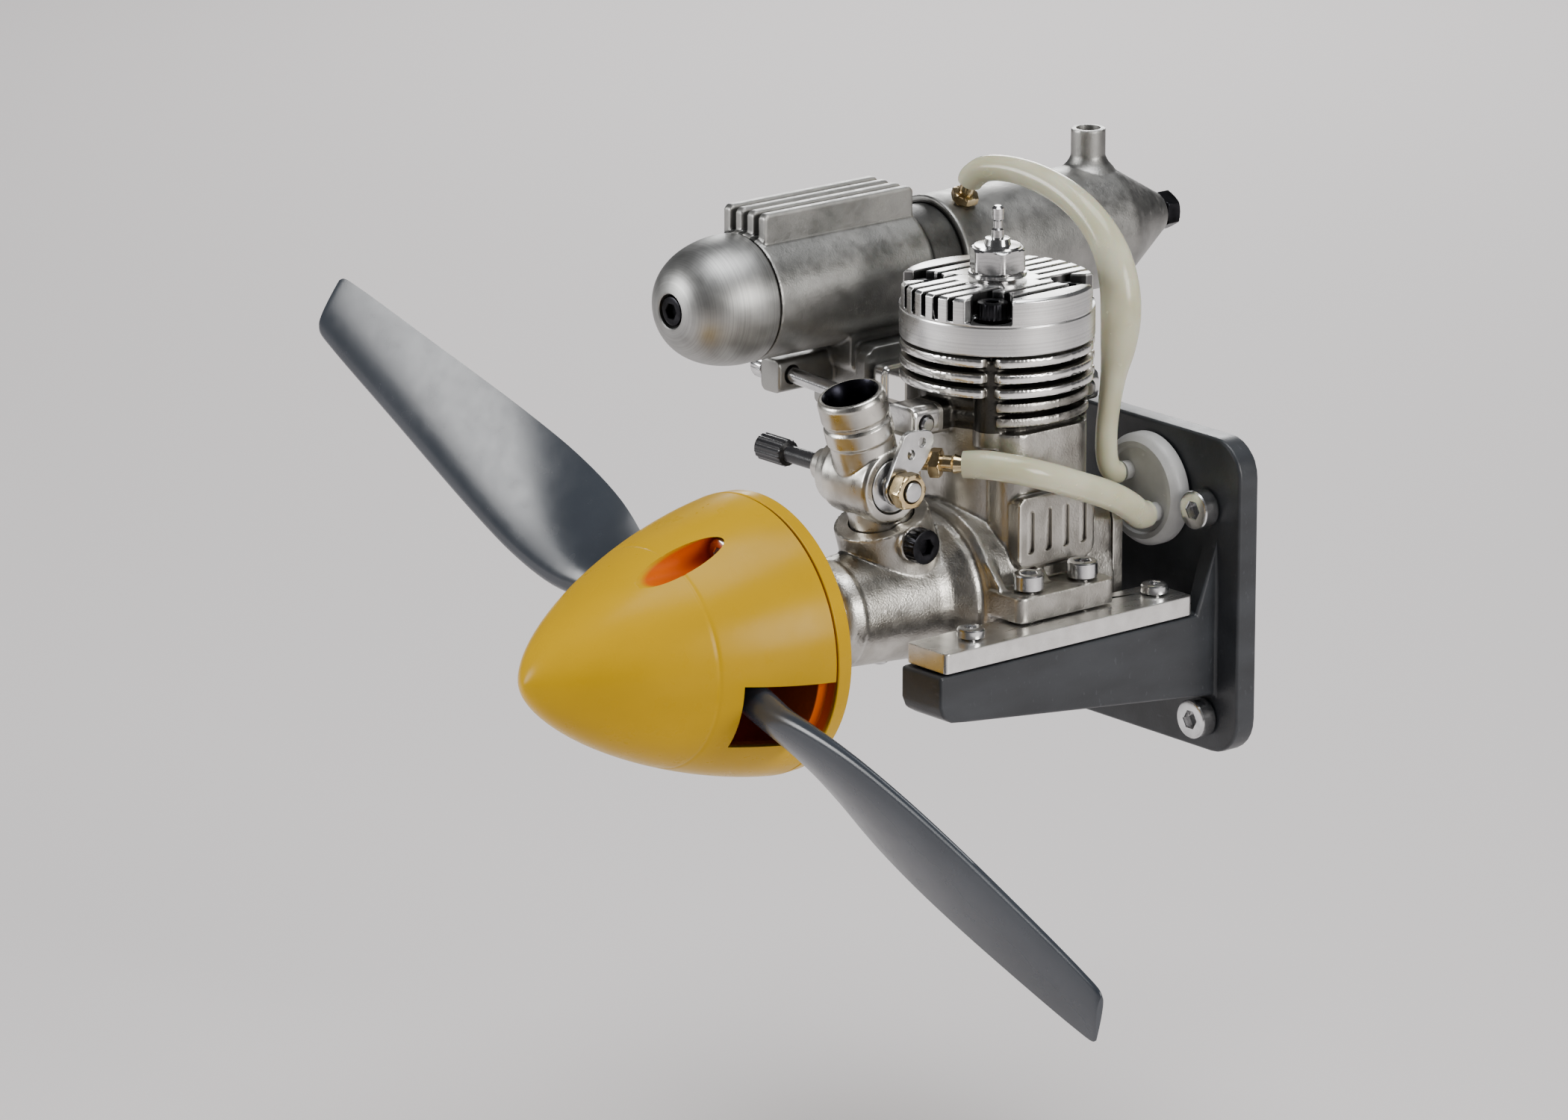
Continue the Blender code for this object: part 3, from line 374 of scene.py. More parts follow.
class Look:
    """A node material on a Principled shader; its coordinates are millimetres of the part's frame."""

    def __init__(self, name, slot, metallic=1.0, **sockets):
        self.material = bpy.data.materials.new(name)
        self.material.use_nodes = True
        self.tree = self.material.node_tree
        self.shader = self.tree.nodes["Principled BSDF"]
        self.slot = slot
        for socket, value in {"Metallic": metallic, **sockets}.items():
            self.shader.inputs[socket.replace("_", " ")].default_value = value
        metres = self.add("TexCoord").outputs["Object"]
        self.place = self.vector("SCALE", metres, scale=1000.0)

    def put(self, socket, value):
        """Link a socket to another, or set its value."""
        if isinstance(value, bpy.types.NodeSocket):
            self.tree.links.new(value, socket)
        else:
            socket.default_value = (*value, 1.0) if socket.type == "RGBA" else value

    def add(self, kind, inputs=None, **settings):
        node = self.tree.nodes.new("ShaderNode" + kind)
        for key, value in settings.items():
            setattr(node, key, value)
        for key, value in (inputs or {}).items():
            self.put(node.inputs[key], value)
        return node

    def vector(self, operation, a, b=(0, 0, 0), scale=1.0):
        node = self.add("VectorMath", {0: a, 1: b, 3: scale}, operation=operation)
        return node.outputs["Value" if operation in ("DOT_PRODUCT", "LENGTH") else "Vector"]

    def maths(self, operation, a, b):
        return self.add("Math", {0: a, 1: b}, operation=operation).outputs[0]

    def times(self, first, *others):
        for other in others:
            first = self.maths("MULTIPLY", first, other)
        return first

    def power(self, value, exponent):
        return self.maths("POWER", self.maths("MAXIMUM", value, 0.0), exponent)

    def above(self, value, limit):
        return self.maths("GREATER_THAN", value, limit)

    def below(self, value, limit):
        return self.maths("LESS_THAN", value, limit)

    def band(self, value, low, high):
        """1 where a value lies between two limits."""
        return self.times(self.above(value, low), self.below(value, high))

    def parts(self, vector):
        return self.add("SeparateXYZ", {0: vector}).outputs

    def rings(self, centre, axis):
        """Coordinates (distance from the axis, distance along it), for the marks of turning."""
        off = self.vector("SUBTRACT", self.place, Vector(centre) + CYLINDER)
        along = self.vector("DOT_PRODUCT", off, axis)
        foot = self.vector("SCALE", axis, scale=along)
        radial = self.vector("LENGTH", self.vector("SUBTRACT", off, foot))
        return self.add("CombineXYZ", {0: radial, 1: along}).outputs[0]

    def noise(self, size, detail=2.0, place=None, stretch=None):
        place = place or self.place
        if stretch:
            place = self.vector("MULTIPLY", place, stretch)
        inputs = {"Vector": place, "Scale": 1 / size, "Detail": detail}
        return self.add("TexNoise", inputs).outputs[0]

    def ramp(self, factor, start, first, end, last):
        """From one colour to another over a factor; a grey may be given as a plain number."""
        node = self.add("ValToRGB", {0: factor})
        for point, at, tone in zip(node.color_ramp.elements, (start, end), (first, last)):
            point.position = at
            point.color = (*tone, 1.0) if isinstance(tone, tuple) else (tone, tone, tone, 1.0)
        return node.outputs[0]

    def mix(self, factor, a, b, blend="MIX"):
        node = self.add("Mix", {0: factor, 6: a, 7: b}, data_type="RGBA", blend_type=blend)
        return node.outputs[2]

    def paint(self, colour, rough):
        self.put(self.shader.inputs["Base Color"], colour)
        self.put(self.shader.inputs["Roughness"], rough)

    def bump(self, height, depth, strength=1.0):
        """Relief from a height, of a depth in millimetres, on top of any relief already there."""
        inputs = {"Height": height, "Distance": depth * 0.001, "Strength": strength}
        normal = self.shader.inputs["Normal"]
        if normal.is_linked:
            inputs["Normal"] = normal.links[0].from_socket
        self.put(normal, self.add("Bump", inputs).outputs[0])


def scaled(tone, share, lift=0.0):
    """A colour made darker or lighter."""
    return tuple(min(1.0, c * share + lift) for c in tone)


def cast_look(name, slot, dark, light, rough, grain=0.35, depth=0.05, fins=False, marks=None):
    """Satin cast metal: fine grain, soft stains, painted shade with some oil grime in hollows, and worn edges;
    fins get painted shade between them.
    """
    look = Look(name, slot)
    point = look.add("NewGeometry").outputs["Pointiness"]
    # hollow picks out hollows by pointiness; they get painted shade, with some oil grime
    hollow = look.ramp(point, 0.44, 1.0, 0.497, 0.0)
    edge = look.ramp(point, 0.51, 0.0, 0.58, 1.0)
    tone = look.ramp(look.noise(7.0, 4.0), 0.32, dark, 0.62, light)
    tone = look.mix(hollow, tone, scaled(dark, 0.22))
    tone = look.mix(look.times(edge, 0.7), tone, scaled(light, 1.3))
    shine = look.ramp(look.noise(1.8, 3.0), 0.3, rough - 0.06, 0.7, rough + 0.08)
    skin = look.noise(grain, 3.0)
    # a dark tone for painted shade, between fins and in the marks
    painted_shade_tone = scaled(dark, 0.2)
    if marks:
        tone = marks(look, tone, painted_shade_tone)
    if fins:
        radial, height, _ = look.parts(look.rings(CRANK_LINE, UP))
        fin_zone = look.band(height, FINS_FROM, DECK_Z)
        # painted shade in the spaces between the fins
        fin_gap_shade = look.times(look.band(radial, NECK_R - 0.6, FIN_R - 1.1), fin_zone)
        tone = look.mix(fin_gap_shade, tone, painted_shade_tone)
        rim = look.times(look.above(radial, FIN_R - 0.3), fin_zone)
        tone = look.mix(rim, tone, (0.88, 0.87, 0.85))
        shine = look.mix(rim, shine, (0.22, 0.22, 0.22))
        skin = look.times(skin, look.maths("SUBTRACT", 1.0, look.times(rim, 0.85)))
    look.paint(tone, shine)
    look.bump(skin, depth)
    look.bump(look.noise(3.5), 0.12, 0.5)
    return look


def silencer_shade(look, tone, painted_shade_tone):
    """Painted shade between the silencer's fins and round its waist."""
    at = look.vector("SUBTRACT", look.place, Vector(MUFFLER_LINE) + CYLINDER)
    across, along, height = look.parts(at)
    from_fin = look.maths("PINGPONG", look.maths("DIVIDE", across, SILENCER_FIN_PITCH), 0.5)
    # painted shade between the fins
    fin_gap_shade = look.times(look.below(from_fin, 0.2), look.band(across, -3.6, 3.6), look.band(height, 8.8, 13.4))
    tone = look.mix(look.times(fin_gap_shade, look.below(along, 5.4)), tone, painted_shade_tone)
    radial = look.parts(look.rings(MUFFLER_LINE, BACK))[0]
    # painted shade round the waist between the chamber and the rear
    waist = look.times(look.below(radial, 9.5), look.band(along, 5.5, AT["muffler_chamber"].high.y + 1.0))
    return look.mix(look.times(waist, 0.8), tone, painted_shade_tone)


def horn_shade(look, tone, painted_shade_tone):
    """Painted shade: a near-black bore inside the air horn."""
    radial, along, _ = look.parts(look.rings(CARB_LINE, RAKE))
    # painted shade filling the bore of the horn
    bore = look.times(look.below(radial, 4.5), look.above(along, 3.0))
    return look.mix(bore, tone, (0.015, 0.015, 0.02))


def turned_look(name, slot, axis, dark, light, rough, pitch=0.3, depth=0.0006, centre=CRANK_LINE, cuts=None):
    """Turned metal with fine rings round its axis, and painted shade in cuts between two heights."""
    look = Look(name, slot)
    rings = look.rings(centre, axis)
    lines = look.noise(pitch, place=rings)
    tone = look.ramp(look.noise(5.0, 3.0), 0.3, dark, 0.65, light)
    tone = look.mix(1.0, tone, look.ramp(lines, 0.35, 0.82, 0.6, 1.0), "MULTIPLY")
    if cuts:
        radial, height, _ = look.parts(rings)
        # painted shade inside the cuts
        in_cut = look.times(look.below(radial, FIN_R - 0.2), look.band(height, *cuts))
        tone = look.mix(in_cut, tone, scaled(dark, 0.25))
    look.paint(tone, look.ramp(look.noise(2.5, 3.0), 0.3, rough, 0.75, rough + 0.05))
    look.bump(lines, depth)
    return look


def plated_look(name, slot, dark, light, rough, ripple=3.0, along=(1.0, 0.15, 0.6)):
    """Plated or blackened steel: faintly mottled, with fine scratches one way."""
    look = Look(name, slot)
    tone = look.ramp(look.noise(2.4, 3.0), 0.3, dark, 0.7, light)
    scratch = look.noise(0.3, stretch=along)
    look.paint(tone, look.ramp(scratch, 0.3, rough - 0.01, 0.7, rough + 0.03))
    look.bump(scratch, 0.0008)
    look.bump(look.noise(ripple), 0.0032)
    return look


def plastic_look(name, slot, dark, light, rough, grain=0.3, depth=0.03, blotch=6.0, scuffs=0.3, **sockets):
    """Moulded plastic: a fine skin, faint flow marks and light scuffs."""
    look = Look(name, slot, 0.0, **sockets)
    tone = look.ramp(look.noise(blotch, 3.0, stretch=(1.0, 0.35, 1.0)), 0.3, dark, 0.7, light)
    scuff = look.ramp(look.noise(0.8, 6.0, stretch=(0.25, 1.0, 0.6)), 0.64, 0.0, 0.72, 1.0)
    tone = look.mix(look.times(scuff, scuffs), tone, scaled(light, 1.5, 0.03))
    look.paint(tone, look.ramp(look.noise(3.0, 3.0), 0.3, rough - 0.02, 0.7, rough + 0.04))
    look.bump(look.noise(grain), depth)
    return look


def spinner_look():
    """Glossy yellow plastic; where its thin wall is seen from inside, it is painted deep orange for light glowing
    through it.
    """
    look = plastic_look(
        "spinner_plastic", "yellow_plastic", (0.53, 0.305, 0.0), (0.61, 0.355, 0.0), 0.28, 1.6, 0.006,
        blotch=14.0, scuffs=0.0, Specular_IOR_Level=0.15,
    )
    skin, shine = (look.shader.inputs[name].links[0].from_socket for name in ("Base Color", "Roughness"))
    radial, along, _ = look.parts(look.rings(CRANK_LINE, BACK))
    share = look.maths("DIVIDE", look.maths("SUBTRACT", SPINNER_BASE, along), SPINNER_LENGTH)
    outside = look.power(look.maths("SUBTRACT", 1.0, look.power(share, OGIVE[0])), OGIVE[1])
    within = look.maths("SUBTRACT", look.times(outside, SPINNER_R), radial)
    # painted glow: inside faces of the wall take a deep orange
    inner = look.times(look.ramp(within, 0.25, 0.0, 0.9, 1.0), look.below(along, SPINNER_BASE - 1.0))
    look.paint(look.mix(inner, skin, (0.62, 0.10, 0.0)), shine)
    return look


def silicone_look():
    """Soft tube, milky and slightly yellow with old fuel."""
    look = Look(
        "silicone_tube", "silicone", 0.0, Subsurface_Weight=0.35, Subsurface_Scale=0.0015,
        Transmission_Weight=0.25, IOR=1.35, Coat_Weight=0.3, Coat_Roughness=0.12,
    )
    tone = look.ramp(look.noise(9.0, 3.0), 0.3, (0.67, 0.655, 0.44), 0.7, (0.85, 0.82, 0.63))
    look.paint(tone, look.ramp(look.noise(2.5), 0.3, 0.18, 0.7, 0.28))
    look.bump(look.noise(1.2), 0.006)
    return look


ALUMINIUM, CAST = "turned_aluminium", "cast_aluminium"
# heights of the head's slots, which get painted shade
HEAD_SHADED_CUTS = (HEAD_HIGH - 3.9, HEAD_HIGH - 0.35)

CASTING = cast_look("crankcase_metal", CAST, (0.30, 0.285, 0.255), (0.57, 0.55, 0.51), 0.34, fins=True)
SILENCER = cast_look(
    "silencer_metal", CAST, (0.25, 0.25, 0.24), (0.37, 0.365, 0.35), 0.44, 0.3, 0.03, marks=silencer_shade
)
CARB = cast_look(
    "carburettor_metal", ALUMINIUM, (0.46, 0.44, 0.40), (0.74, 0.72, 0.67), 0.30, 0.4, 0.006, marks=horn_shade
)
COVER = cast_look("backplate_metal", CAST, (0.36, 0.345, 0.31), (0.60, 0.58, 0.54), 0.34)
HEAD = turned_look(
    "head_metal", ALUMINIUM, UP, (0.72, 0.72, 0.72), (0.85, 0.85, 0.84), 0.26, cuts=HEAD_SHADED_CUTS
)
DOME = turned_look(
    "dome_metal", CAST, BACK, (0.32, 0.32, 0.31), (0.44, 0.44, 0.43), 0.42, 0.25, 0.008, MUFFLER_LINE
)
SHAFT = turned_look("shaft_steel", "steel", BACK, (0.50, 0.50, 0.51), (0.66, 0.66, 0.67), 0.2)
DRIVER = turned_look("driver_metal", ALUMINIUM, BACK, 0.70, 0.86, 0.24)
BORE_STEEL = turned_look("liner_steel", "steel", UP, (0.48, 0.48, 0.49), (0.64, 0.64, 0.65), 0.22)
ALLOY = turned_look("piston_alloy", CAST, UP, (0.60, 0.59, 0.57), (0.78, 0.77, 0.75), 0.3)
PLUG = turned_look("plug_steel", "steel", UP, 0.62, (0.84, 0.83, 0.82), 0.16)
ROD_ALLOY = plated_look("rod_alloy", ALUMINIUM, (0.66, 0.66, 0.65), (0.82, 0.82, 0.81), 0.3)
BRONZE = turned_look("bush_bronze", "bronze", BACK, (0.42, 0.27, 0.13), (0.60, 0.42, 0.22), 0.35)
BAR = plated_look("bar_metal", ALUMINIUM, (0.74, 0.73, 0.71), (0.90, 0.89, 0.87), 0.28, 1.2, (1.0, 0.05, 1.0))
STEEL = plated_look("plated_steel", "steel", (0.55, 0.55, 0.56), 0.78, 0.22)
BLACK = plated_look("blackened_steel", "black_steel", (0.010, 0.010, 0.011), (0.035, 0.035, 0.04), 0.32)
BRASS = plated_look("brass_fittings", "brass", (0.58, 0.42, 0.20), (0.83, 0.68, 0.42), 0.2)
NYLON = plastic_look(
    "mount_nylon", "slate_nylon", (0.020, 0.022, 0.026), (0.038, 0.042, 0.048), 0.40, grain=0.45, depth=0.02
)
BLADE = plastic_look(
    "propeller_nylon", "black_nylon", (0.030, 0.036, 0.046), (0.044, 0.051, 0.063), 0.24, 0.8, 0.0015,
    blotch=16.0, scuffs=0.04,
)
YELLOW = spinner_look()
GREY = plastic_look("fitting_plastic", "grey_plastic", (0.42, 0.42, 0.42), (0.58, 0.58, 0.57), 0.36)
NEEDLE = plastic_look("needle_sleeve", "black_steel", (0.010, 0.010, 0.012), (0.025, 0.025, 0.028), 0.3)
TUBE = silicone_look()


# ---- camera, floor, light

VIEW_AZIMUTH, VIEW_ELEVATION = radians(50), radians(16)
VIEW_DISTANCE = 1.35
LENS = 200.0


def make_camera():
    """A long lens at the height of a table-top portrait, with the whole object in view."""
    a, e = VIEW_AZIMUTH, VIEW_ELEVATION
    back = Vector((sin(a) * cos(e), -cos(a) * cos(e), sin(e)))
    right = Vector((cos(a), sin(a), 0))
    points = [Vector(v.co) for obj in frame["nodes"].values() for v in obj.data.vertices]
    middle = back * (cad_box[0] + cad_box[1]).dot(back) / 2
    for axis in (right, back.cross(right)):
        places = [p.dot(axis) for p in points]
        middle += axis * (min(places) + max(places)) / 2
    camera = put_in_scene("camera", bpy.data.cameras.new("camera"))
    camera.data.lens = LENS
    camera.data.sensor_width = 36.0
    camera.data.clip_start, camera.data.clip_end = 0.05, 20.0
    camera.location = middle + back * VIEW_DISTANCE
    camera.rotation_euler = back.to_track_quat("Z", "Y").to_euler()
    bpy.context.scene.camera = camera
    return middle


def soft_light(name, at, target, size, power, tint=(1, 1, 1)):
    """A square soft box that faces the object."""
    lamp = put_in_scene(name, bpy.data.lights.new(name, "AREA"))
    lamp.data.size = size
    lamp.data.energy = power
    lamp.data.color = tint
    lamp.location = target + Vector(at)
    lamp.rotation_euler = Vector(at).to_track_quat("Z", "Y").to_euler()


def make_studio(middle):
    """A pale floor below the propeller's sweep, a dim even surround and four soft boxes."""
    reach, floor_z = 6.0, -(PROP_R + 1.5) * 0.001
    mesh = bpy.data.meshes.new("floor")
    mesh.from_pydata([(x * reach, y * reach, floor_z) for x, y in CORNERS], [], [(0, 2, 3, 1)])
    floor = put_in_scene("floor", mesh)
    paper = bpy.data.materials.new("floor_paper")
    paper.use_nodes = True
    shader = paper.node_tree.nodes["Principled BSDF"]
    shader.inputs["Base Color"].default_value = (0.74, 0.705, 0.70, 1)
    shader.inputs["Roughness"].default_value = 0.7
    mesh.materials.append(paper)

    world = bpy.data.worlds.new("surround")
    bpy.context.scene.world = world
    world.use_nodes = True
    background = world.node_tree.nodes["Background"]
    background.inputs["Color"].default_value = (0.08, 0.08, 0.084, 1)
    background.inputs["Strength"].default_value = 0.9

    soft_light("key_light", (-0.50, -0.85, 0.36), middle, 0.40, 8.5)
    soft_light("side_light", (0.95, 0.20, 0.30), middle, 0.40, 7.0, (1.0, 0.98, 0.95))
    soft_light("top_light", (0.15, 0.10, 0.98), middle, 0.60, 8.0, (0.97, 0.98, 1.0))
    soft_light("back_light", (-0.75, 0.75, 0.35), middle, 0.40, 5.0)


make_studio(make_camera())


# ---- soft lines

PRESSURE_ROUTE = [
    (-0.0254, -0.0115, 0.0559), (-0.0246, -0.0115, 0.0570), (-0.0218, -0.0112, 0.0587),
    (-0.0170, -0.0106, 0.0594), (-0.0110, -0.0100, 0.0590), (-0.0048, -0.0096, 0.0575),
    (0.0008, -0.0093, 0.0546), (0.0050, -0.0091, 0.0504), (0.0072, -0.0091, 0.0454),
    (0.0079, -0.0093, 0.0404), (0.0077, -0.0096, 0.0354), (0.0073, -0.0101, 0.0310),
    (0.0070, -0.0106, 0.0266), (0.0069, -0.0111, 0.0224), (0.0072, -0.0114, 0.0188),
    (0.0075, -0.0111, 0.0164), (0.0076, -0.0102, 0.0152), (0.0076, -0.0091, 0.0150),
]
PRESSURE_WIDTH = [
    2, 2.1, 2.1, 2.1, 2.2, 2.3, 2.5, 2.8, 3.1, 3.2, 2.8, 2.1, 1.8, 1.75, 1.75, 1.75, 1.75, 1.75,
]
FUEL_ROUTE = [
    (0.0096, -0.0432, 0.0226), (0.0120, -0.0412, 0.0227), (0.0148, -0.0386, 0.0223),
    (0.0167, -0.0352, 0.0213), (0.0176, -0.0310, 0.0198), (0.0178, -0.0266, 0.0180),
    (0.0177, -0.0222, 0.0162), (0.0174, -0.0182, 0.0143), (0.0166, -0.0148, 0.0123),
    (0.0154, -0.0122, 0.0106), (0.0145, -0.0105, 0.0098), (0.0142, -0.0091, 0.0096),
]
FUEL_WIDTH = [2.1] + [2.25] * 10 + [2.1]
LINE_WALL = 0.75


def smooth(points, count):
    """A number of points on the smooth curve through some others."""
    out = []
    for n in range(count):
        t = (len(points) - 1) * n / (count - 1)
        k = min(int(t), len(points) - 2)
        f = t - k
        near = [points[min(max(k + i, 0), len(points) - 1)] for i in (-1, 0, 1, 2)]
        row = []
        for a, b, c, d in zip(*near):
            cubic = (2 * a - 5 * b + 4 * c - d) * f ** 2 + (3 * b - a - 3 * c + d) * f ** 3
            row.append(0.5 * (2 * b + (c - a) * f + cubic))
        out.append(row)
    return out


def flexible_line(node, route, widths, count):
    """A hollow tube along a route, open at both ends."""
    around = 40
    rows = smooth([(*point, width) for point, width in zip(route, widths)], count)
    centres = [Vector(row[:3]) for row in rows]
    side = Vector(UP)
    outside, inside = [], []
    for i, centre in enumerate(centres):
        on = (centres[min(i + 1, count - 1)] - centres[max(i - 1, 0)]).normalized()
        side = (side - on * side.dot(on)).normalized()
        for loops, inset in ((outside, 0), (inside, LINE_WALL)):
            loops.append(circle(centre, side, on.cross(side), (rows[i][3] - inset) * 0.001, around))
    verts = [point for loop in outside + inside[::-1] for point in loop]
    rings = [range(k, k + around) for k in range(0, len(verts), around)]
    tube = solid(verts, strips(rings, looped=True))
    tube.data.materials.append(TUBE.material)
    tube.data.shade_smooth()
    tube.data.set_sharp_from_angle(angle=radians(50))
    attach(tube, node)


flexible_line("pressure_line", PRESSURE_ROUTE, PRESSURE_WIDTH, 90)
flexible_line("fuel_line", FUEL_ROUTE, FUEL_WIDTH, 50)


# ---- engine body

def rake(distance):
    """A point on the carburettor's leaning axis."""
    return (0, CARB_B + distance * RAKE[1], CARB_Z + distance * RAKE[2])


def short_edge(angle):
    """A lower fin's outline: it stands out on the throttle side only, and eases back to the neck."""
    away = abs((degrees(angle) + 180) % 360 - 180)
    share = min(max((52 - away) / 14, 0), 1)
    share = share * share * (3 - 2 * share)
    return NECK_R + 0.3 + (SHORT_FIN_R - NECK_R - 0.3) * share


def full_edge(angle):
    """A full fin's outline, with a shallow groove at each head screw."""
    away = (degrees(angle) - 45) % 90
    away = min(away, 90 - away)
    return FIN_R - 2.3 * exp(-(away / 3) ** 2)


def cylinder_column():
    """The cylinder's jacket with three full fins and two short ones."""
    rows = [(6, NECK_R)]
    for k in reversed(range(5)):
        edge = full_edge if k < 3 else short_edge
        top = DECK_Z - k * FIN_PITCH
        rows += [(top - FIN_THICK, NECK_R), (top - FIN_THICK, edge), (top, edge)]
        if k:
            rows.append((top, NECK_R))
    return lathe(rows, along=UP, steps=180)


def screw_height(x):
    """Height of the silencer's long screws, which fall towards the cylinder."""
    return SCREW_Z + SCREW_FALL * (1.5 - x)


def silencer_holes(low, high):
    """Holes for the silencer's long screws, between two places in x."""
    z = (screw_height(low), screw_height(high))
    return [rod(1.6, (low, b, z[0]), (high, b, z[1]), 32) for b in SILENCER_SCREW_B]


def build_crankcase():
    """The main casting: crank chamber, nose, finned jacket, transfer bulge, lugs and exhaust duct."""
    case = lathe([(CASE_FRONT, CASE_R - 0.9), (CASE_FRONT + 0.9, CASE_R), (CASE_REAR, CASE_R)], steps=128)
    nose = [
        (-11, 12.6), (-14.5, 12.6), (-15.6, 11.6), (-17.2, 10.2), (-19, 9.6), (NOSE_END + 3.4, 8.6),
        (NOSE_END + 3, 8.9), (NOSE_END + 1, 8.4), (NOSE_END, 7.6),
    ]
    parts = [
        lathe(nose, steps=128, ease=0.5),
        cylinder_column(),
        slab("b", 7.6, CASE_REAR, *COVER_SHAPE),
        slab("z", 2, 26.4, (6.2, 0), 14.4, 17.6, 3.6),
        slab("z", 26, 27.2, (5.4, 0), 13.6, 15.6, 3),
        slab("x", 10, PAD_X, PAD_MID, 15.6, 11.4, 1.6),
        rod(7.6, rake(-17.5), rake(-6.6), 64),
        sideways(2.8, *CLAMP_AT, 4, 8.1),
        box((-18, -7.9, 23), (-6, 7.9, 31)),
        slab("x", -19.6, -17.2, (0, 27), 17.2, 9.2, 1.2),
        slab("b", -19.6, -10.5, (0, 28.3), 6.4, 5, 1.4),
        slab("b", 10.5, 18.6, (0, 28.3), 6.4, 5, 1.4),
    ]
    for side in (-1, 1):
        low, high = sorted((side * 12, side * LUG_X))
        parts.append(slab("z", -1, 3, ((low + high) / 2, LUG_MID), high - low, 19.9, 1.5))
        web = [(side * x, z) for x, z in ((10, 2.5), (16.6, 2.5), (12.2, 7.4), (10, 7.4))]
        for b in (LUG_MID - 8.75, LUG_MID, LUG_MID + 8.75):
            parts.append(prism("b", b - 0.8, b + 0.8, web))
    parts += [upright(2.7, *at, 24, DECK_Z - 0.7) for at in HEAD_SCREWS]
    melt(case, *parts, voxel=0.29, passes=3)
    holes = [
        level(CHAMBER_R, 0, 0, -11.8, 14, 96),
        upright(LINER_R + GAP, 0, 0, 4, 41, 96),
        level(6.5, 0, 0, NOSE_END - 2, -11, 64),
        box((-21, -6.6, PORT_LOW), (-7, 6.6, PORT_HIGH)),
        rod(5.3, rake(-11.8), rake(-5), 64),
        rod(3.2, rake(-18), rake(-11)),
        sideways(1.5, *CLAMP_AT, 3.5, 9, 24),
        *silencer_holes(-5, 5),
    ]
    lug_screws = [span.mid for node, span in AT.items() if node.startswith("lug_screw")]
    holes += [upright(HOLE_R["lug_screw"], at.x, at.y, -2, 4, 32) for at in lug_screws]
    holes += [upright(1.5, *at, 29.5, 41, 24) for at in HEAD_SCREWS]
    holes += [level(1.3, *at, 5, 14, 24) for at in COVER_SCREWS]
    for k in range(4):
        slot_at = (PAD_MID[0] + 3.6 * (k - 1.5), PAD_MID[1])
        holes.append(slab("x", PAD_X - 0.55, 16, slot_at, 1.5, 7, 0.7))
    cut(case, *holes)
    finish(case, "crankcase", CASTING)


def build_head():
    """The turned head: slots across its top, pockets for four screws, a plain band below."""
    outside = [
        (HEAD_LOW, FIN_R - 0.3), (HEAD_LOW + 0.3, FIN_R), (HEAD_LOW + 4.6, FIN_R),
        (HEAD_LOW + 4.75, FIN_R - 0.15), (HEAD_LOW + 4.9, FIN_R), (HEAD_HIGH - 0.4, FIN_R),
        (HEAD_HIGH, FIN_R - 0.4),
    ]
    head = lathe(outside, along=UP, steps=144)
    tools = []
    for x in (-10.9, -7.9, -5.2, -2.6, 0, 2.6, 5.2, 7.9, 10.9):
        half = 0.75 if abs(x) > 10 else 0.5
        low, high = (x - half, -17, HEAD_HIGH - 3.7), (x + half, 17, HEAD_HIGH + 1)
        if abs(x) > PLUG_SEAT_R:
            tools.append(box(low, high))
            continue
        reach = sqrt(PLUG_SEAT_R ** 2 - x * x)
        tools += [box(low, (high[0], -reach, high[2])), box((low[0], reach, low[2]), high)]
    tools.append(upright(3.2, 0, 0, 38, 50))
    for x, b in HEAD_SCREWS:
        tools += [upright(3, x, b, POCKET_Z, 50, 40), upright(1.6, x, b, 38, 45, 24)]
        way = Vector((x, b)).normalized()
        cross = Vector((-way.y, way.x))
        spots = ((10, -2.99), (10, 2.99), (18, 3.4), (18, -3.4))
        mouth = [tuple(way * reach + cross * half) for reach, half in spots]
        tools.append(prism("z", POCKET_Z, 50, mouth))
    cut(head, *tools, solver="EXACT")
    finish(bevel(head, 0.12, 2, 40), "cylinder_head", HEAD)


def cap_screw(node, way, head_r, head_h, shank_r, look, socket, top=None, length=None, knurl=True):
    """A socket screw laid on its CAD node: way is the direction that it is driven in."""
    span, way = AT[node], Vector(way)
    long = length or sum(abs(w) * s for w, s in zip(way, span.size))

    def rim(angle):
        return head_r * (1 - 0.022 * (1 + cos(24 * angle))) if knurl else head_r

    mouth = hexagon(socket)
    rows = [
        (head_h * 0.55, 0), (head_h * 0.48, mouth), (0.12, mouth), (0, hexagon(socket + 0.25)),
        (0, head_r - 0.4), (0.1, head_r - 0.14), (0.34, rim), (head_h - 0.12, rim), (head_h, head_r - 0.12),
        (head_h, shank_r), (long - 0.3, shank_r), (long, shank_r - 0.3),
    ]
    side = UP if abs(way.z) < 0.9 else ACROSS
    finish(lathe(rows, top or span.mid - way * long / 2, way, side), node, look, 30)


def nut(node, look, across_flats, hole, origin=CRANK_LINE, along=BACK, side=ACROSS):
    """A chamfered nut, as long as its CAD node."""
    low, high = (end.dot(along) for end in (AT[node].low, AT[node].high))
    rows = chamfered_hex(low, high, across_flats) + [(high, hole), (low, hole)]
    finish(lathe(rows, origin, along, side, closed=True), node, look, 30)


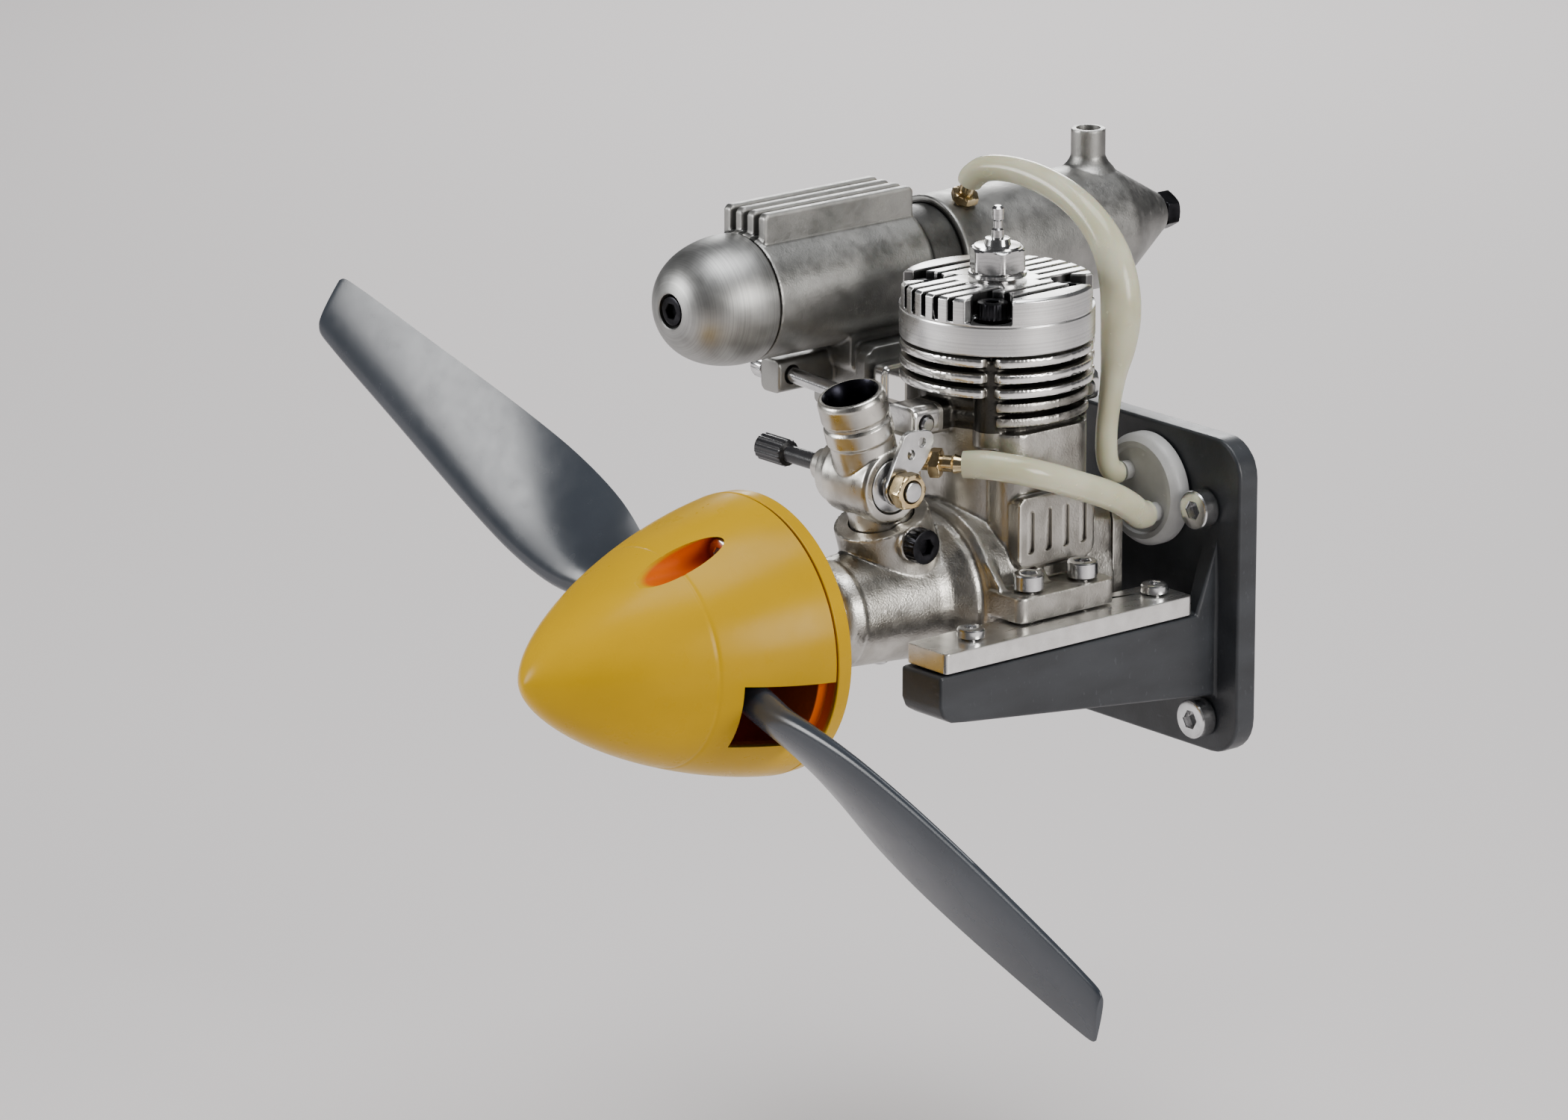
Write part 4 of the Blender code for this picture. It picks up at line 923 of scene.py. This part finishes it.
def build_top():
    """Plug, head screws, backplate and its screws."""
    foot, tip = AT["glow_plug"].z
    rows = [
        (foot, 1.6), (foot + 1, 2.8), (48.4, 2.8), (48.4, 4.5), (48.5, 4.6), (49, 4.6), (49.1, 4.4),
        *chamfered_hex(49.1, 52.9, 8), (52.9, 3.7), (53.2, 3.6), (53.3, 2.1), (54.3, 1.9), (54.4, 1),
        (55.6, 0.95), (55.9, 0.7), (57, 0.7), (57.3, 0.95), (59, 0.95), (tip, 0.5),
    ]
    finish(lathe(rows, along=UP), "glow_plug", PLUG, 30)
    for k in range(1, 5):
        cap_screw(f"head_screw_{k}", DOWN, 2.45, 2.7, 1.2, BLACK, 2)
        cap_screw(f"backplate_screw_{k}", (0, -1, 0), 2.1, 1.9, 1, BLACK, 1.5)

    (front, back), seat = AT["backplate"].b, CASE_REAR + GAP
    cover = slab("b", seat, back, *COVER_SHAPE)
    join(cover, level(11.9, 0, 0, front, seat + 1, 96), solver="EXACT")
    groove = pipe(seat + 1.75, seat + 3, 7.4, 9.2)
    cut(cover, *[level(1.5, *at, 6, 16, 32) for at in COVER_SCREWS], groove, solver="EXACT")
    finish(bevel(cover, 0.25), "backplate", COVER)


def build_inside():
    """Bush, liner and the crank train, which only show when the engine is opened."""
    bush = pipe(*AT["front_bush"].b, 6.2, SHAFT_R + GAP, ease=0.2)
    cut(bush, box((-2.9, -24, 2), (2.9, -18.2, 8)))
    finish(bush, "front_bush", BRONZE)

    r = AT["piston"].size.x / 2
    liner = pipe(*AT["cylinder_liner"].z, LINER_R, r + GAP, along=UP, ease=0.15)
    cut(liner, box((-12, -5.2, 24.9), (-4, 5.2, 29)), box((4, -4.2, 22.6), (12, 4.2, 26)))
    finish(liner, "cylinder_liner", BORE_STEEL)

    web = []
    for i in range(120):
        a = radians(3 * i - 90)
        x, z = 11.6 * cos(a), 11.6 * sin(a)
        web.append((max(-7.4, min(7.4, x)) if z > 0 else x, z))
    tip, back = AT["crankshaft"].b
    shaft = bevel(prism("b", -11.4, back, web), 0.3)
    spindle = [(tip, THREAD_R - 0.4), (tip + 0.4, THREAD_R)]
    for k in range(38):
        root = tip + 0.8 + 0.8 * k
        spindle += [(root - 0.3, THREAD_R), (root, THREAD_R - 0.32), (root + 0.3, THREAD_R)]
    spindle += [(-37.5, THREAD_R), (-37.3, SHAFT_R), (-9, SHAFT_R)]
    join(shaft, lathe(spindle))
    cut(shaft, level(2.6, 0, 0, -23.8, 0), box((-2.5, -23.8, 0.2), (2.5, -18.4, 6)))
    finish(shaft, "crankshaft", SHAFT)

    pin = [(end, PIN_R) for end in AT["crankpin"].b]
    finish(lathe(pin, (0, 0, THROW), ease=0.3), "crankpin", SHAFT)
    top = AT["wrist_pin"].mid.z
    conrod = prism("b", -1.5, 1.5, [(-2, THROW), (2, THROW), (1.5, top), (-1.5, top)])
    join(conrod, level(4.2, 0, THROW, -2.4, 2.4, 96), level(3.4, 0, top, -2.2, 2.2, 96), solver="EXACT")
    cut(
        conrod, level(PIN_R + GAP, 0, THROW, -4, 4), level(WRIST_R + GAP, 0, top, -4, 4),
        upright(0.6, 0, 0, THROW - 6, THROW, 16), solver="EXACT",
    )
    finish(bevel(conrod, 0.2), "conrod", ROD_ALLOY)
    half = AT["wrist_pin"].size.y / 2
    wrist = pipe(-half, half, WRIST_R, 1, origin=(0, 0, top), ease=0.2)
    finish(wrist, "wrist_pin", SHAFT)

    skirt, crown = AT["piston"].z
    outside = [
        (skirt, r - 0.1), (skirt + 0.2, r), (crown - 2.6, r), (crown - 2.5, r - 0.15),
        (crown - 2.2, r - 0.15), (crown - 2.1, r), (crown - 0.3, r), (crown, r - 0.3),
    ]
    piston = cut(lathe(outside, along=UP), upright(r - 1.4, 0, 0, skirt - 1, crown - 1.8, 96))
    join(piston, *[level(3.3, 0, top, s * 3, s * 6.6) for s in (-1, 1)])
    cut(piston, level(WRIST_R + GAP, 0, top, -9, 9))
    finish(piston, "piston", ALLOY)


# ---- propeller and spinner

def turned(x, z):
    """A point across the shaft, turned with the propeller."""
    c, s = cos(PROP_TURN), sin(PROP_TURN)
    return x * c - z * s, x * s + z * c


# distance from the shaft, chord and thickness
BLADE_STATIONS = [
    (4, 7.6, 3.4), (11, 9.4, 4.8), (19, 12, 4.6), (29, 17, 3.8), (40, 18.8, 3),
    (52, 18.2, 2.5), (64, 16.6, 2.1), (76, 14.6, 1.8), (88, 12.6, 1.5), (94, 11.4, 1.35),
    (PROP_R - 1.1, 10.4, 1.2), (PROP_R, 8.6, 1),
]


def wing_section(count=16):
    """A propeller section, leading edge at -0.5, in shares of the chord and of the thickness."""
    upper = []
    for i in range(count + 1):
        u = (1 - cos(pi * i / count)) / 2
        half = 5 * (0.2969 * sqrt(u) - 0.126 * u - 0.3516 * u ** 2 + 0.2843 * u ** 3 - 0.1015 * u ** 4)
        upper.append((u - 0.5, 2 * half + 0.02))
    return [(u, 0.66 * w) for u, w in upper] + [(u, -0.45 * w) for u, w in reversed(upper[1:-1])]


def blade(sign):
    """One twisted blade, from inside the hub to its squared tip."""
    sections = []
    for s, chord, thick in smooth(BLADE_STATIONS, 64):
        pitch = min(atan(PROP_PITCH / (2 * pi * s)), radians(40))
        ring = []
        for along, off in wing_section():
            u, w = -along * chord, off * thick
            x, z = turned(sign * s, sign * (u * cos(pitch) - w * sin(pitch)))
            ring.append((x, PROP_MID - u * sin(pitch) - w * cos(pitch), z))
        sections.append(ring)
    return loft(sections)


def spinner_radius(b):
    """Radius of the spinner's outside at a place along the shaft."""
    t = min(max((SPINNER_BASE - b) / SPINNER_LENGTH, 0), 1)
    return SPINNER_R * (1 - t ** OGIVE[0]) ** OGIVE[1]


def spinner_rows(inset, tip, count):
    """The cone's ogive, drawn in by an inset and ending short of the tip."""
    reach = CONE_BASE - SPINNER_TIP - tip
    places = [CONE_BASE - reach * sin(pi / 2 * i / count) for i in range(count)]
    return [(b, spinner_radius(b) - inset) for b in places]


def build_propeller():
    """Drive washer, backplate, propeller, washer, nut, cone and its screws."""
    hole = THREAD_R + GAP
    face, back = AT["drive_washer"].b
    flare = [(back, 5.8), (face + 4.2, 6.4), (face + 2.2, 9.6), (face, 9.8), (face, hole), (back, hole)]
    finish(lathe(flare, closed=True, ease=0.5), "drive_washer", DRIVER)

    seat, back = AT["spinner_backplate"].b
    rim = CONE_BASE + GAP
    spigot = rim - 1.8
    plate = [
        (back, SPINNER_R - 0.3), (rim, spinner_radius(rim)), (rim, 19.7), (spigot, 19.7), (spigot, 8.4),
        (seat, 8), (seat, hole), (back, hole),
    ]
    disc = lathe(plate, closed=True, ease=0.25, steps=160)
    cut(disc, pipe(back - 0.7, back + 1, 12.6, 18.4, steps=128))
    finish(disc, "spinner_backplate", YELLOW)

    front, back = AT["prop_washer"].b
    half = (seat - back) / 2 - GAP
    prop = lathe([(PROP_MID + half, 8.2), (PROP_MID - half, 8.2)], ease=0.6)
    join(prop, blade(1), blade(-1))
    cut(prop, level(hole, 0, 0, PROP_MID - 8, PROP_MID + 8))
    finish(prop, "propeller", BLADE, 50)
    finish(pipe(back, front, 6, hole, ease=0.2), "prop_washer", STEEL)
    nut("prop_nut", STEEL, 8, hole)

    seam = SPINNER_BASE - SEAM_SHARE * SPINNER_LENGTH
    places = [b for b, _ in spinner_rows(0, 0, 60)] + [seam + 0.12 * k for k in range(-6, 7)]
    outside = []
    for b in sorted(places, reverse=True):
        outside.append((b, spinner_radius(b) - 0.1 * exp(-((b - seam) / 0.3) ** 2)))
    outside[0:1] = [(CONE_BASE, outside[0][1] - 0.15), (CONE_BASE - 0.15, outside[0][1])]
    cone = lathe(outside + [(SPINNER_TIP, 0)], steps=160)
    inner = spinner_rows(1.5, 2.2, 24)
    inner[0] = (CONE_BASE + 1, inner[0][1])
    hollow = lathe(inner + [(SPINNER_TIP + 2.6, 0)])
    posts, tools = [], []
    for k, off in ((1, 17.3), (2, -17.3)):
        x, z = turned(0, off)
        under_head = AT[f"spinner_screw_{k}"].low.y + 1.8
        posts.append(level(4.1, x, z, SPINNER_TIP + 10, spigot - 0.5))
        tools.append(level(2.7, x, z, SPINNER_TIP, under_head + GAP, 64))
        tools.append(level(1.5, x, z, under_head - 2, spigot + 2, 32))
        cap_screw(f"spinner_screw_{k}", BACK, 2.3, 1.8, 1.2, STEEL, 1.6, knurl=False)
    cut(hollow, *posts)
    for sign in (1, -1):
        slot = [turned(sign * s, half) for s, half in ((6, -5.6), (30, -5.6), (30, 5.6), (6, 5.6))]
        tools.append(prism("b", PROP_MID - 6, CONE_BASE + 1, slot))
    cut(cone, hollow, *tools)
    finish(cone, "spinner_cone", YELLOW, 30)


# ---- carburettor

def build_carburettor():
    """Carburettor body, barrel, arm, nut, needle, fuel nipple and clamp screw."""
    crosswise = (CARB_LINE, ACROSS, UP)
    body = lathe([(-8, 4.6), (-7.6, 5.2), (-5.6, 5.4), (-5.2, 6), (4.6, 6), (5.2, 5.6)], *crosswise)
    horn = [
        (2, 5.1), (7.4, 5.1), (7.8, 5.4), (10.2, 5.4), (10.5, 5), (11.1, 5), (11.4, 5.4), (14.4, 5.4),
        (15, 5.1), (15.2, 4.8),
    ]
    melt(
        body, lathe(horn, CARB_LINE, RAKE), rod(5, rake(-11.4), rake(-3), 64),
        lathe([(-12, 2.3), (-11.6, 2.7), (-7, 2.9)], *crosswise, 64),
        rod(2.2, (3, -21.4, FUEL_TAP_Z), (-1, -24.4, FUEL_TAP_Z)), voxel=0.17, passes=4,
    )
    mouth = [(3.6, 3), (7, 3.02), (10, 3.2), (12.6, 3.55), (14.4, 4), (15.1, 4.4), (16, 5)]
    cut(
        body, sideways(4.5, CARB_B, CARB_Z, -6, 6, 64), rod(3, rake(-16), rake(4.6), 64),
        lathe(mouth, CARB_LINE, RAKE), sideways(1.7, CARB_B, CARB_Z, -13, -5, 32),
        rod(1.6, (1, -21.6, FUEL_TAP_Z), (8, -16.4, FUEL_TAP_Z), 32),
    )
    finish(body, "carb_body", CARB)

    barrel = lathe([(-5.4, 4.2), (5.1, 4.2), (5.3, 1.6), (10, 1.6)], *crosswise, ease=0.2)
    cut(barrel, rod(3, rake(-6), rake(6)))
    finish(barrel, "throttle_barrel", STEEL)

    outline = []
    for i in range(25):
        a = radians(150 + 10 * i)
        outline.append((CARB_B + 2.9 * cos(a), CARB_Z + 2.9 * sin(a)))
    outline += [
        (-21.6, 22.1), (-20.6, 23.2), (-19.3, 25.4), (-18.8, 26.4), (-18.9, 27.4), (-19.5, 28.1),
        (-20.4, 28.4), (-22.4, 28.6), (-23.6, 28.6), (-24.7, 28.1), (-25.3, 27.1), (-25.4, 26.8),
    ]
    arm = prism("x", *AT["throttle_arm"].x, outline)
    holes = ((1.9, CARB_B, CARB_Z, 48), (0.75, -21.2, 26.6, 32), (0.75, -23.4, 25, 32))
    cut(arm, *[sideways(r, b, z, 5, 8, steps) for r, b, z, steps in holes], solver="EXACT")
    finish(bevel(arm, 0.12), "throttle_arm", STEEL)
    nut("throttle_arm_nut", BRASS, 5.2, 1.9, *crosswise)

    def grip(angle):
        return 2.2 - 0.08 * (1 + cos(16 * angle))

    tip = AT["needle_valve"].low.x
    needle = [
        (tip, 1.5), (tip + 0.3, 2), (tip + 0.5, grip), (tip + 6, grip), (tip + 6.3, 2),
        (tip + 6.6, 1.35), (-12.6, 1.35), (-12.5, 1.2), (-8, 1.2), (-6.3, 0.6),
    ]
    finish(lathe(needle, *crosswise), "needle_valve", NEEDLE, 30)
    nipple = [
        (0, 1.25), (3.4, 1.25), *chamfered_hex(3.5, 5.3, 4.2), (5.3, 1.3), (7, 1.3), (7.4, 1.55),
        (9, 1.15), (10.6, 1.15), (10.6, 0.7), (5, 0.7),
    ]
    finish(lathe(nipple, (2.6, -20.4, FUEL_TAP_Z), (7, 5.2, 0), UP), "fuel_nipple", BRASS, 30)
    cap_screw("carb_clamp_screw", (-1, 0, 0), 2.8, 2.4, 1.2, BLACK, 2.3)


# ---- silencer

def build_muffler():
    """Dome, finned chamber, rear chamber with its outlet, and what holds them."""
    inner = MUFFLER_R - WALL
    front, lip = AT["muffler_dome"].b
    dome = [(lip, MUFFLER_R - 0.15), (lip - 0.3, MUFFLER_R)]
    for i in range(1, 25):
        a = radians(78 * i / 24)
        fall = 12.2 * sin(a) / sin(radians(78))
        dome.append((lip - 1.6 - fall, 2.9 + 7.4 * cos(a * 1.13) ** 0.8))
    dome += [
        (front, 2.95), (front + 0.15, 2.75), (front + 2.5, 2.7), (front + 2.5, 1.8), (front + 4, 1.8),
        (-34.8, 5.6), (-32.6, 7.8), (-30.2, 8.9), (lip, inner),
    ]
    finish(lathe(dome, MUFFLER_LINE, steps=128, closed=True), "muffler_dome", DOME)

    start, waist = AT["muffler_chamber"].b
    outside = [(start, MUFFLER_R), (5.2, MUFFLER_R), (5.5, 10), (6.4, 9), (waist, 9)]
    chamber = lathe(outside, MUFFLER_LINE, steps=128)
    fin = [(start + 0.8, 8.6), (start + 0.8, 13.3), (start + 1.4, 13.9), (4.6, 13.9), (5.2, 13.3), (5.2, 8.6)]
    fin = [(b, MUFFLER_Z + z) for b, z in fin]
    parts = [
        slab("x", -34, -20.2, (0, 28), 17.2, 12, 1.6),
        slab("x", -33.6, -24, (0, 34), 18.6, 10, 2),
        slab("x", -22.4, -20.2, (0, 28.4), 19.6, 9.6, 1.4),
        slab("b", -19.9, -7, (-31.2, 29.3), 4.6, 5.4, 1.2),
        slab("b", 7, 18.9, (-31.2, 29.3), 4.6, 5.4, 1.2),
    ]
    for k in range(4):
        x = MUFFLER_X + SILENCER_FIN_PITCH * (k - 1.5)
        parts.append(prism("x", x - 0.8, x + 0.8, fin))
    melt(chamber, *parts)
    hollow = [(start - 1, inner), (4.4, inner), (5.2, 7.9), (waist + 1, 7.9)]
    cut(
        chamber, lathe(hollow, MUFFLER_LINE), box((-31.5, -7.2, PORT_LOW), (-19, 7.2, PORT_HIGH)),
        box((-31.5, -7.2, 25), (-25, 7.2, MUFFLER_Z)), *silencer_holes(-36, -26),
    )
    finish(chamber, "muffler_chamber", SILENCER)

    start, end = AT["muffler_rear"].b
    cone = [
        (start, MUFFLER_R - 0.2), (start + 0.3, MUFFLER_R), (end - 13.4, MUFFLER_R), (end - 12.4, 10.15),
        (end - 11.4, 9.7), (end - 1.2, 3.9), (end - 0.4, 3.5), (end, 3),
    ]
    rear = lathe(cone, MUFFLER_LINE, steps=128)
    outlet_b, foot = 46.6, MUFFLER_Z + 4
    outlet = [
        (0, 4.4), (MUFFLER_R - 4.6, 4.2), (MUFFLER_R - 3.6, 3.3), (MUFFLER_R - 2.6, 2.8),
        (AT["muffler_rear"].high.z - foot, 2.8),
    ]
    melt(rear, lathe(outlet, (MUFFLER_X, outlet_b, foot), UP, steps=64))
    way = Vector((0.39, 0, 0.92)).normalized()
    tap = Vector((MUFFLER_X, 16.5, MUFFLER_Z))
    hollow = [(start - 1, inner), (end - 14, inner), (end - 12.8, 8.8), (end - 2, 1.8), (end + 1, 1.8)]
    cut(
        rear, lathe(hollow, MUFFLER_LINE), upright(2, MUFFLER_X, outlet_b, foot, foot + 15),
        rod(1.5, tap + way * 7, tap + way * 13, 32),
    )
    finish(rear, "muffler_rear", SILENCER)

    nipple = [
        (8.6, 1.2), (10.5, 1.2), *chamfered_hex(10.6, 12, 4), (12.1, 1.25), (13.6, 1.25), (16.4, 1.1),
        (16.4, 0.6), (12, 0.6),
    ]
    finish(lathe(nipple, tap, way), "pressure_nipple", BRASS, 30)
    cap_screw("muffler_through_bolt", BACK, 2.4, 2, 1.4, BLACK, 2.2)
    nut("muffler_nut", BLACK, 5.5, 1.7, MUFFLER_LINE)
    way = Vector((1, 0, -SCREW_FALL)).normalized()
    for node, b in zip(("muffler_screw_front", "muffler_screw_rear"), SILENCER_SCREW_B):
        top = Vector((-34.2, b, screw_height(-34.2))) - way * 2.6
        cap_screw(node, way, 2.2, 2.6, 1.25, STEEL, 2, top, 40.6)


# ---- mount

def build_mount():
    """Nylon plate with two beams, the aluminium bars on them, and all their screws."""
    at, bar_at = AT["engine_mount"], AT["bar_left"]
    front, plate, top = at.low.y, at.high.y - 4, bar_at.low.z - GAP
    mount = slab("b", plate, at.high.y, (0, at.mid.z), at.size.x, at.size.z, 6)
    beam = [
        (front, top), (plate + 0.5, top), (plate + 0.5, -18.6), (-27.5, -12.9), (-30.4, -12.5),
        (-32.3, -11.4), (front, -9.6),
    ]
    web = [(19.5, -6), (plate + 0.5, 8.5), (plate + 0.5, -8), (15.5, -8)]
    beams = []
    for side in (-1, 1):
        for start, outline in ((bar_at.low.x, beam), (bar_at.high.x - 3, web)):
            beams.append(prism("x", *sorted((side * start, side * bar_at.high.x)), outline))
    join(mount, *beams, solver="EXACT")
    holes = []
    for node, span in AT.items():
        if node[:9] in HOLE_R:
            holes.append(upright(HOLE_R[node[:9]], span.mid.x, span.mid.y, span.low.z - 1, 0, 32))
        if node.startswith("firewall_bolt"):
            holes.append(level(2.1, span.mid.x, span.mid.z, 20, 30, 32))
    cut(mount, *holes, solver="EXACT")
    finish(bevel(mount, 0.55, 3), "engine_mount", NYLON)

    for label in ("left", "right"):
        span = AT["bar_" + label]
        bar = slab("z", *span.z, span.mid, span.size.x, span.size.y, 0.8)
        holes = []
        for end in ("front", "rear"):
            for kind, r in HOLE_R.items():
                at = AT[f"{kind}_{label}_{end}"].mid
                holes.append(upright(r, at.x, at.y, -6, 0, 40))
        cut(bar, *holes, solver="EXACT")
        finish(bevel(bar, 0.22), "bar_" + label, BAR)
        for end in ("front", "rear"):
            cap_screw(f"lug_screw_{label}_{end}", DOWN, 2.4, 2.6, 1.35, STEEL, 2.4, knurl=False)
            cap_screw(f"bar_screw_{label}_{end}", DOWN, 2.2, 1.5, 1.15, STEEL, 1.7, knurl=False)
        for end in ("upper", "lower"):
            cap_screw(f"firewall_bolt_{label}_{end}", BACK, 3.1, 2.8, 1.75, STEEL, 2.6, knurl=False)


def build_fitting():
    """The round fuel fitting, with a stub for each of the two lines."""
    span = AT["fuel_fitting"]
    (front, back), r = span.b, span.size.x / 2
    disc = [
        (back, r - 0.2), (back - 0.2, r), (back - 1.8, r), (back - 2.5, r - 0.5), (back - 3.1, r - 1.2),
        (back - 3.1, r - 2), (back - 2.7, r - 2.3),
    ]
    fitting = lathe(disc, (span.mid.x, 0, span.mid.z))
    stub = [(front - 2.2, 0.9), (front + 0.3, 0.95), (front + 0.4, 1.5), (back - 1, 1.5)]
    ends = [Vector(route[-1]) * 1000 for route in (PRESSURE_ROUTE, FUEL_ROUTE)]
    join(fitting, *[lathe(stub, (end.x, 0, end.z), steps=48) for end in ends])
    finish(fitting, "fuel_fitting", GREY)


build_crankcase()
build_head()
build_top()
build_inside()
build_propeller()
build_carburettor()
build_muffler()
build_mount()
build_fitting()

for piece in [node for node in frame["nodes"].values() if not node.hide_render]:
    raise ValueError(f"{piece.name} has no visual piece")
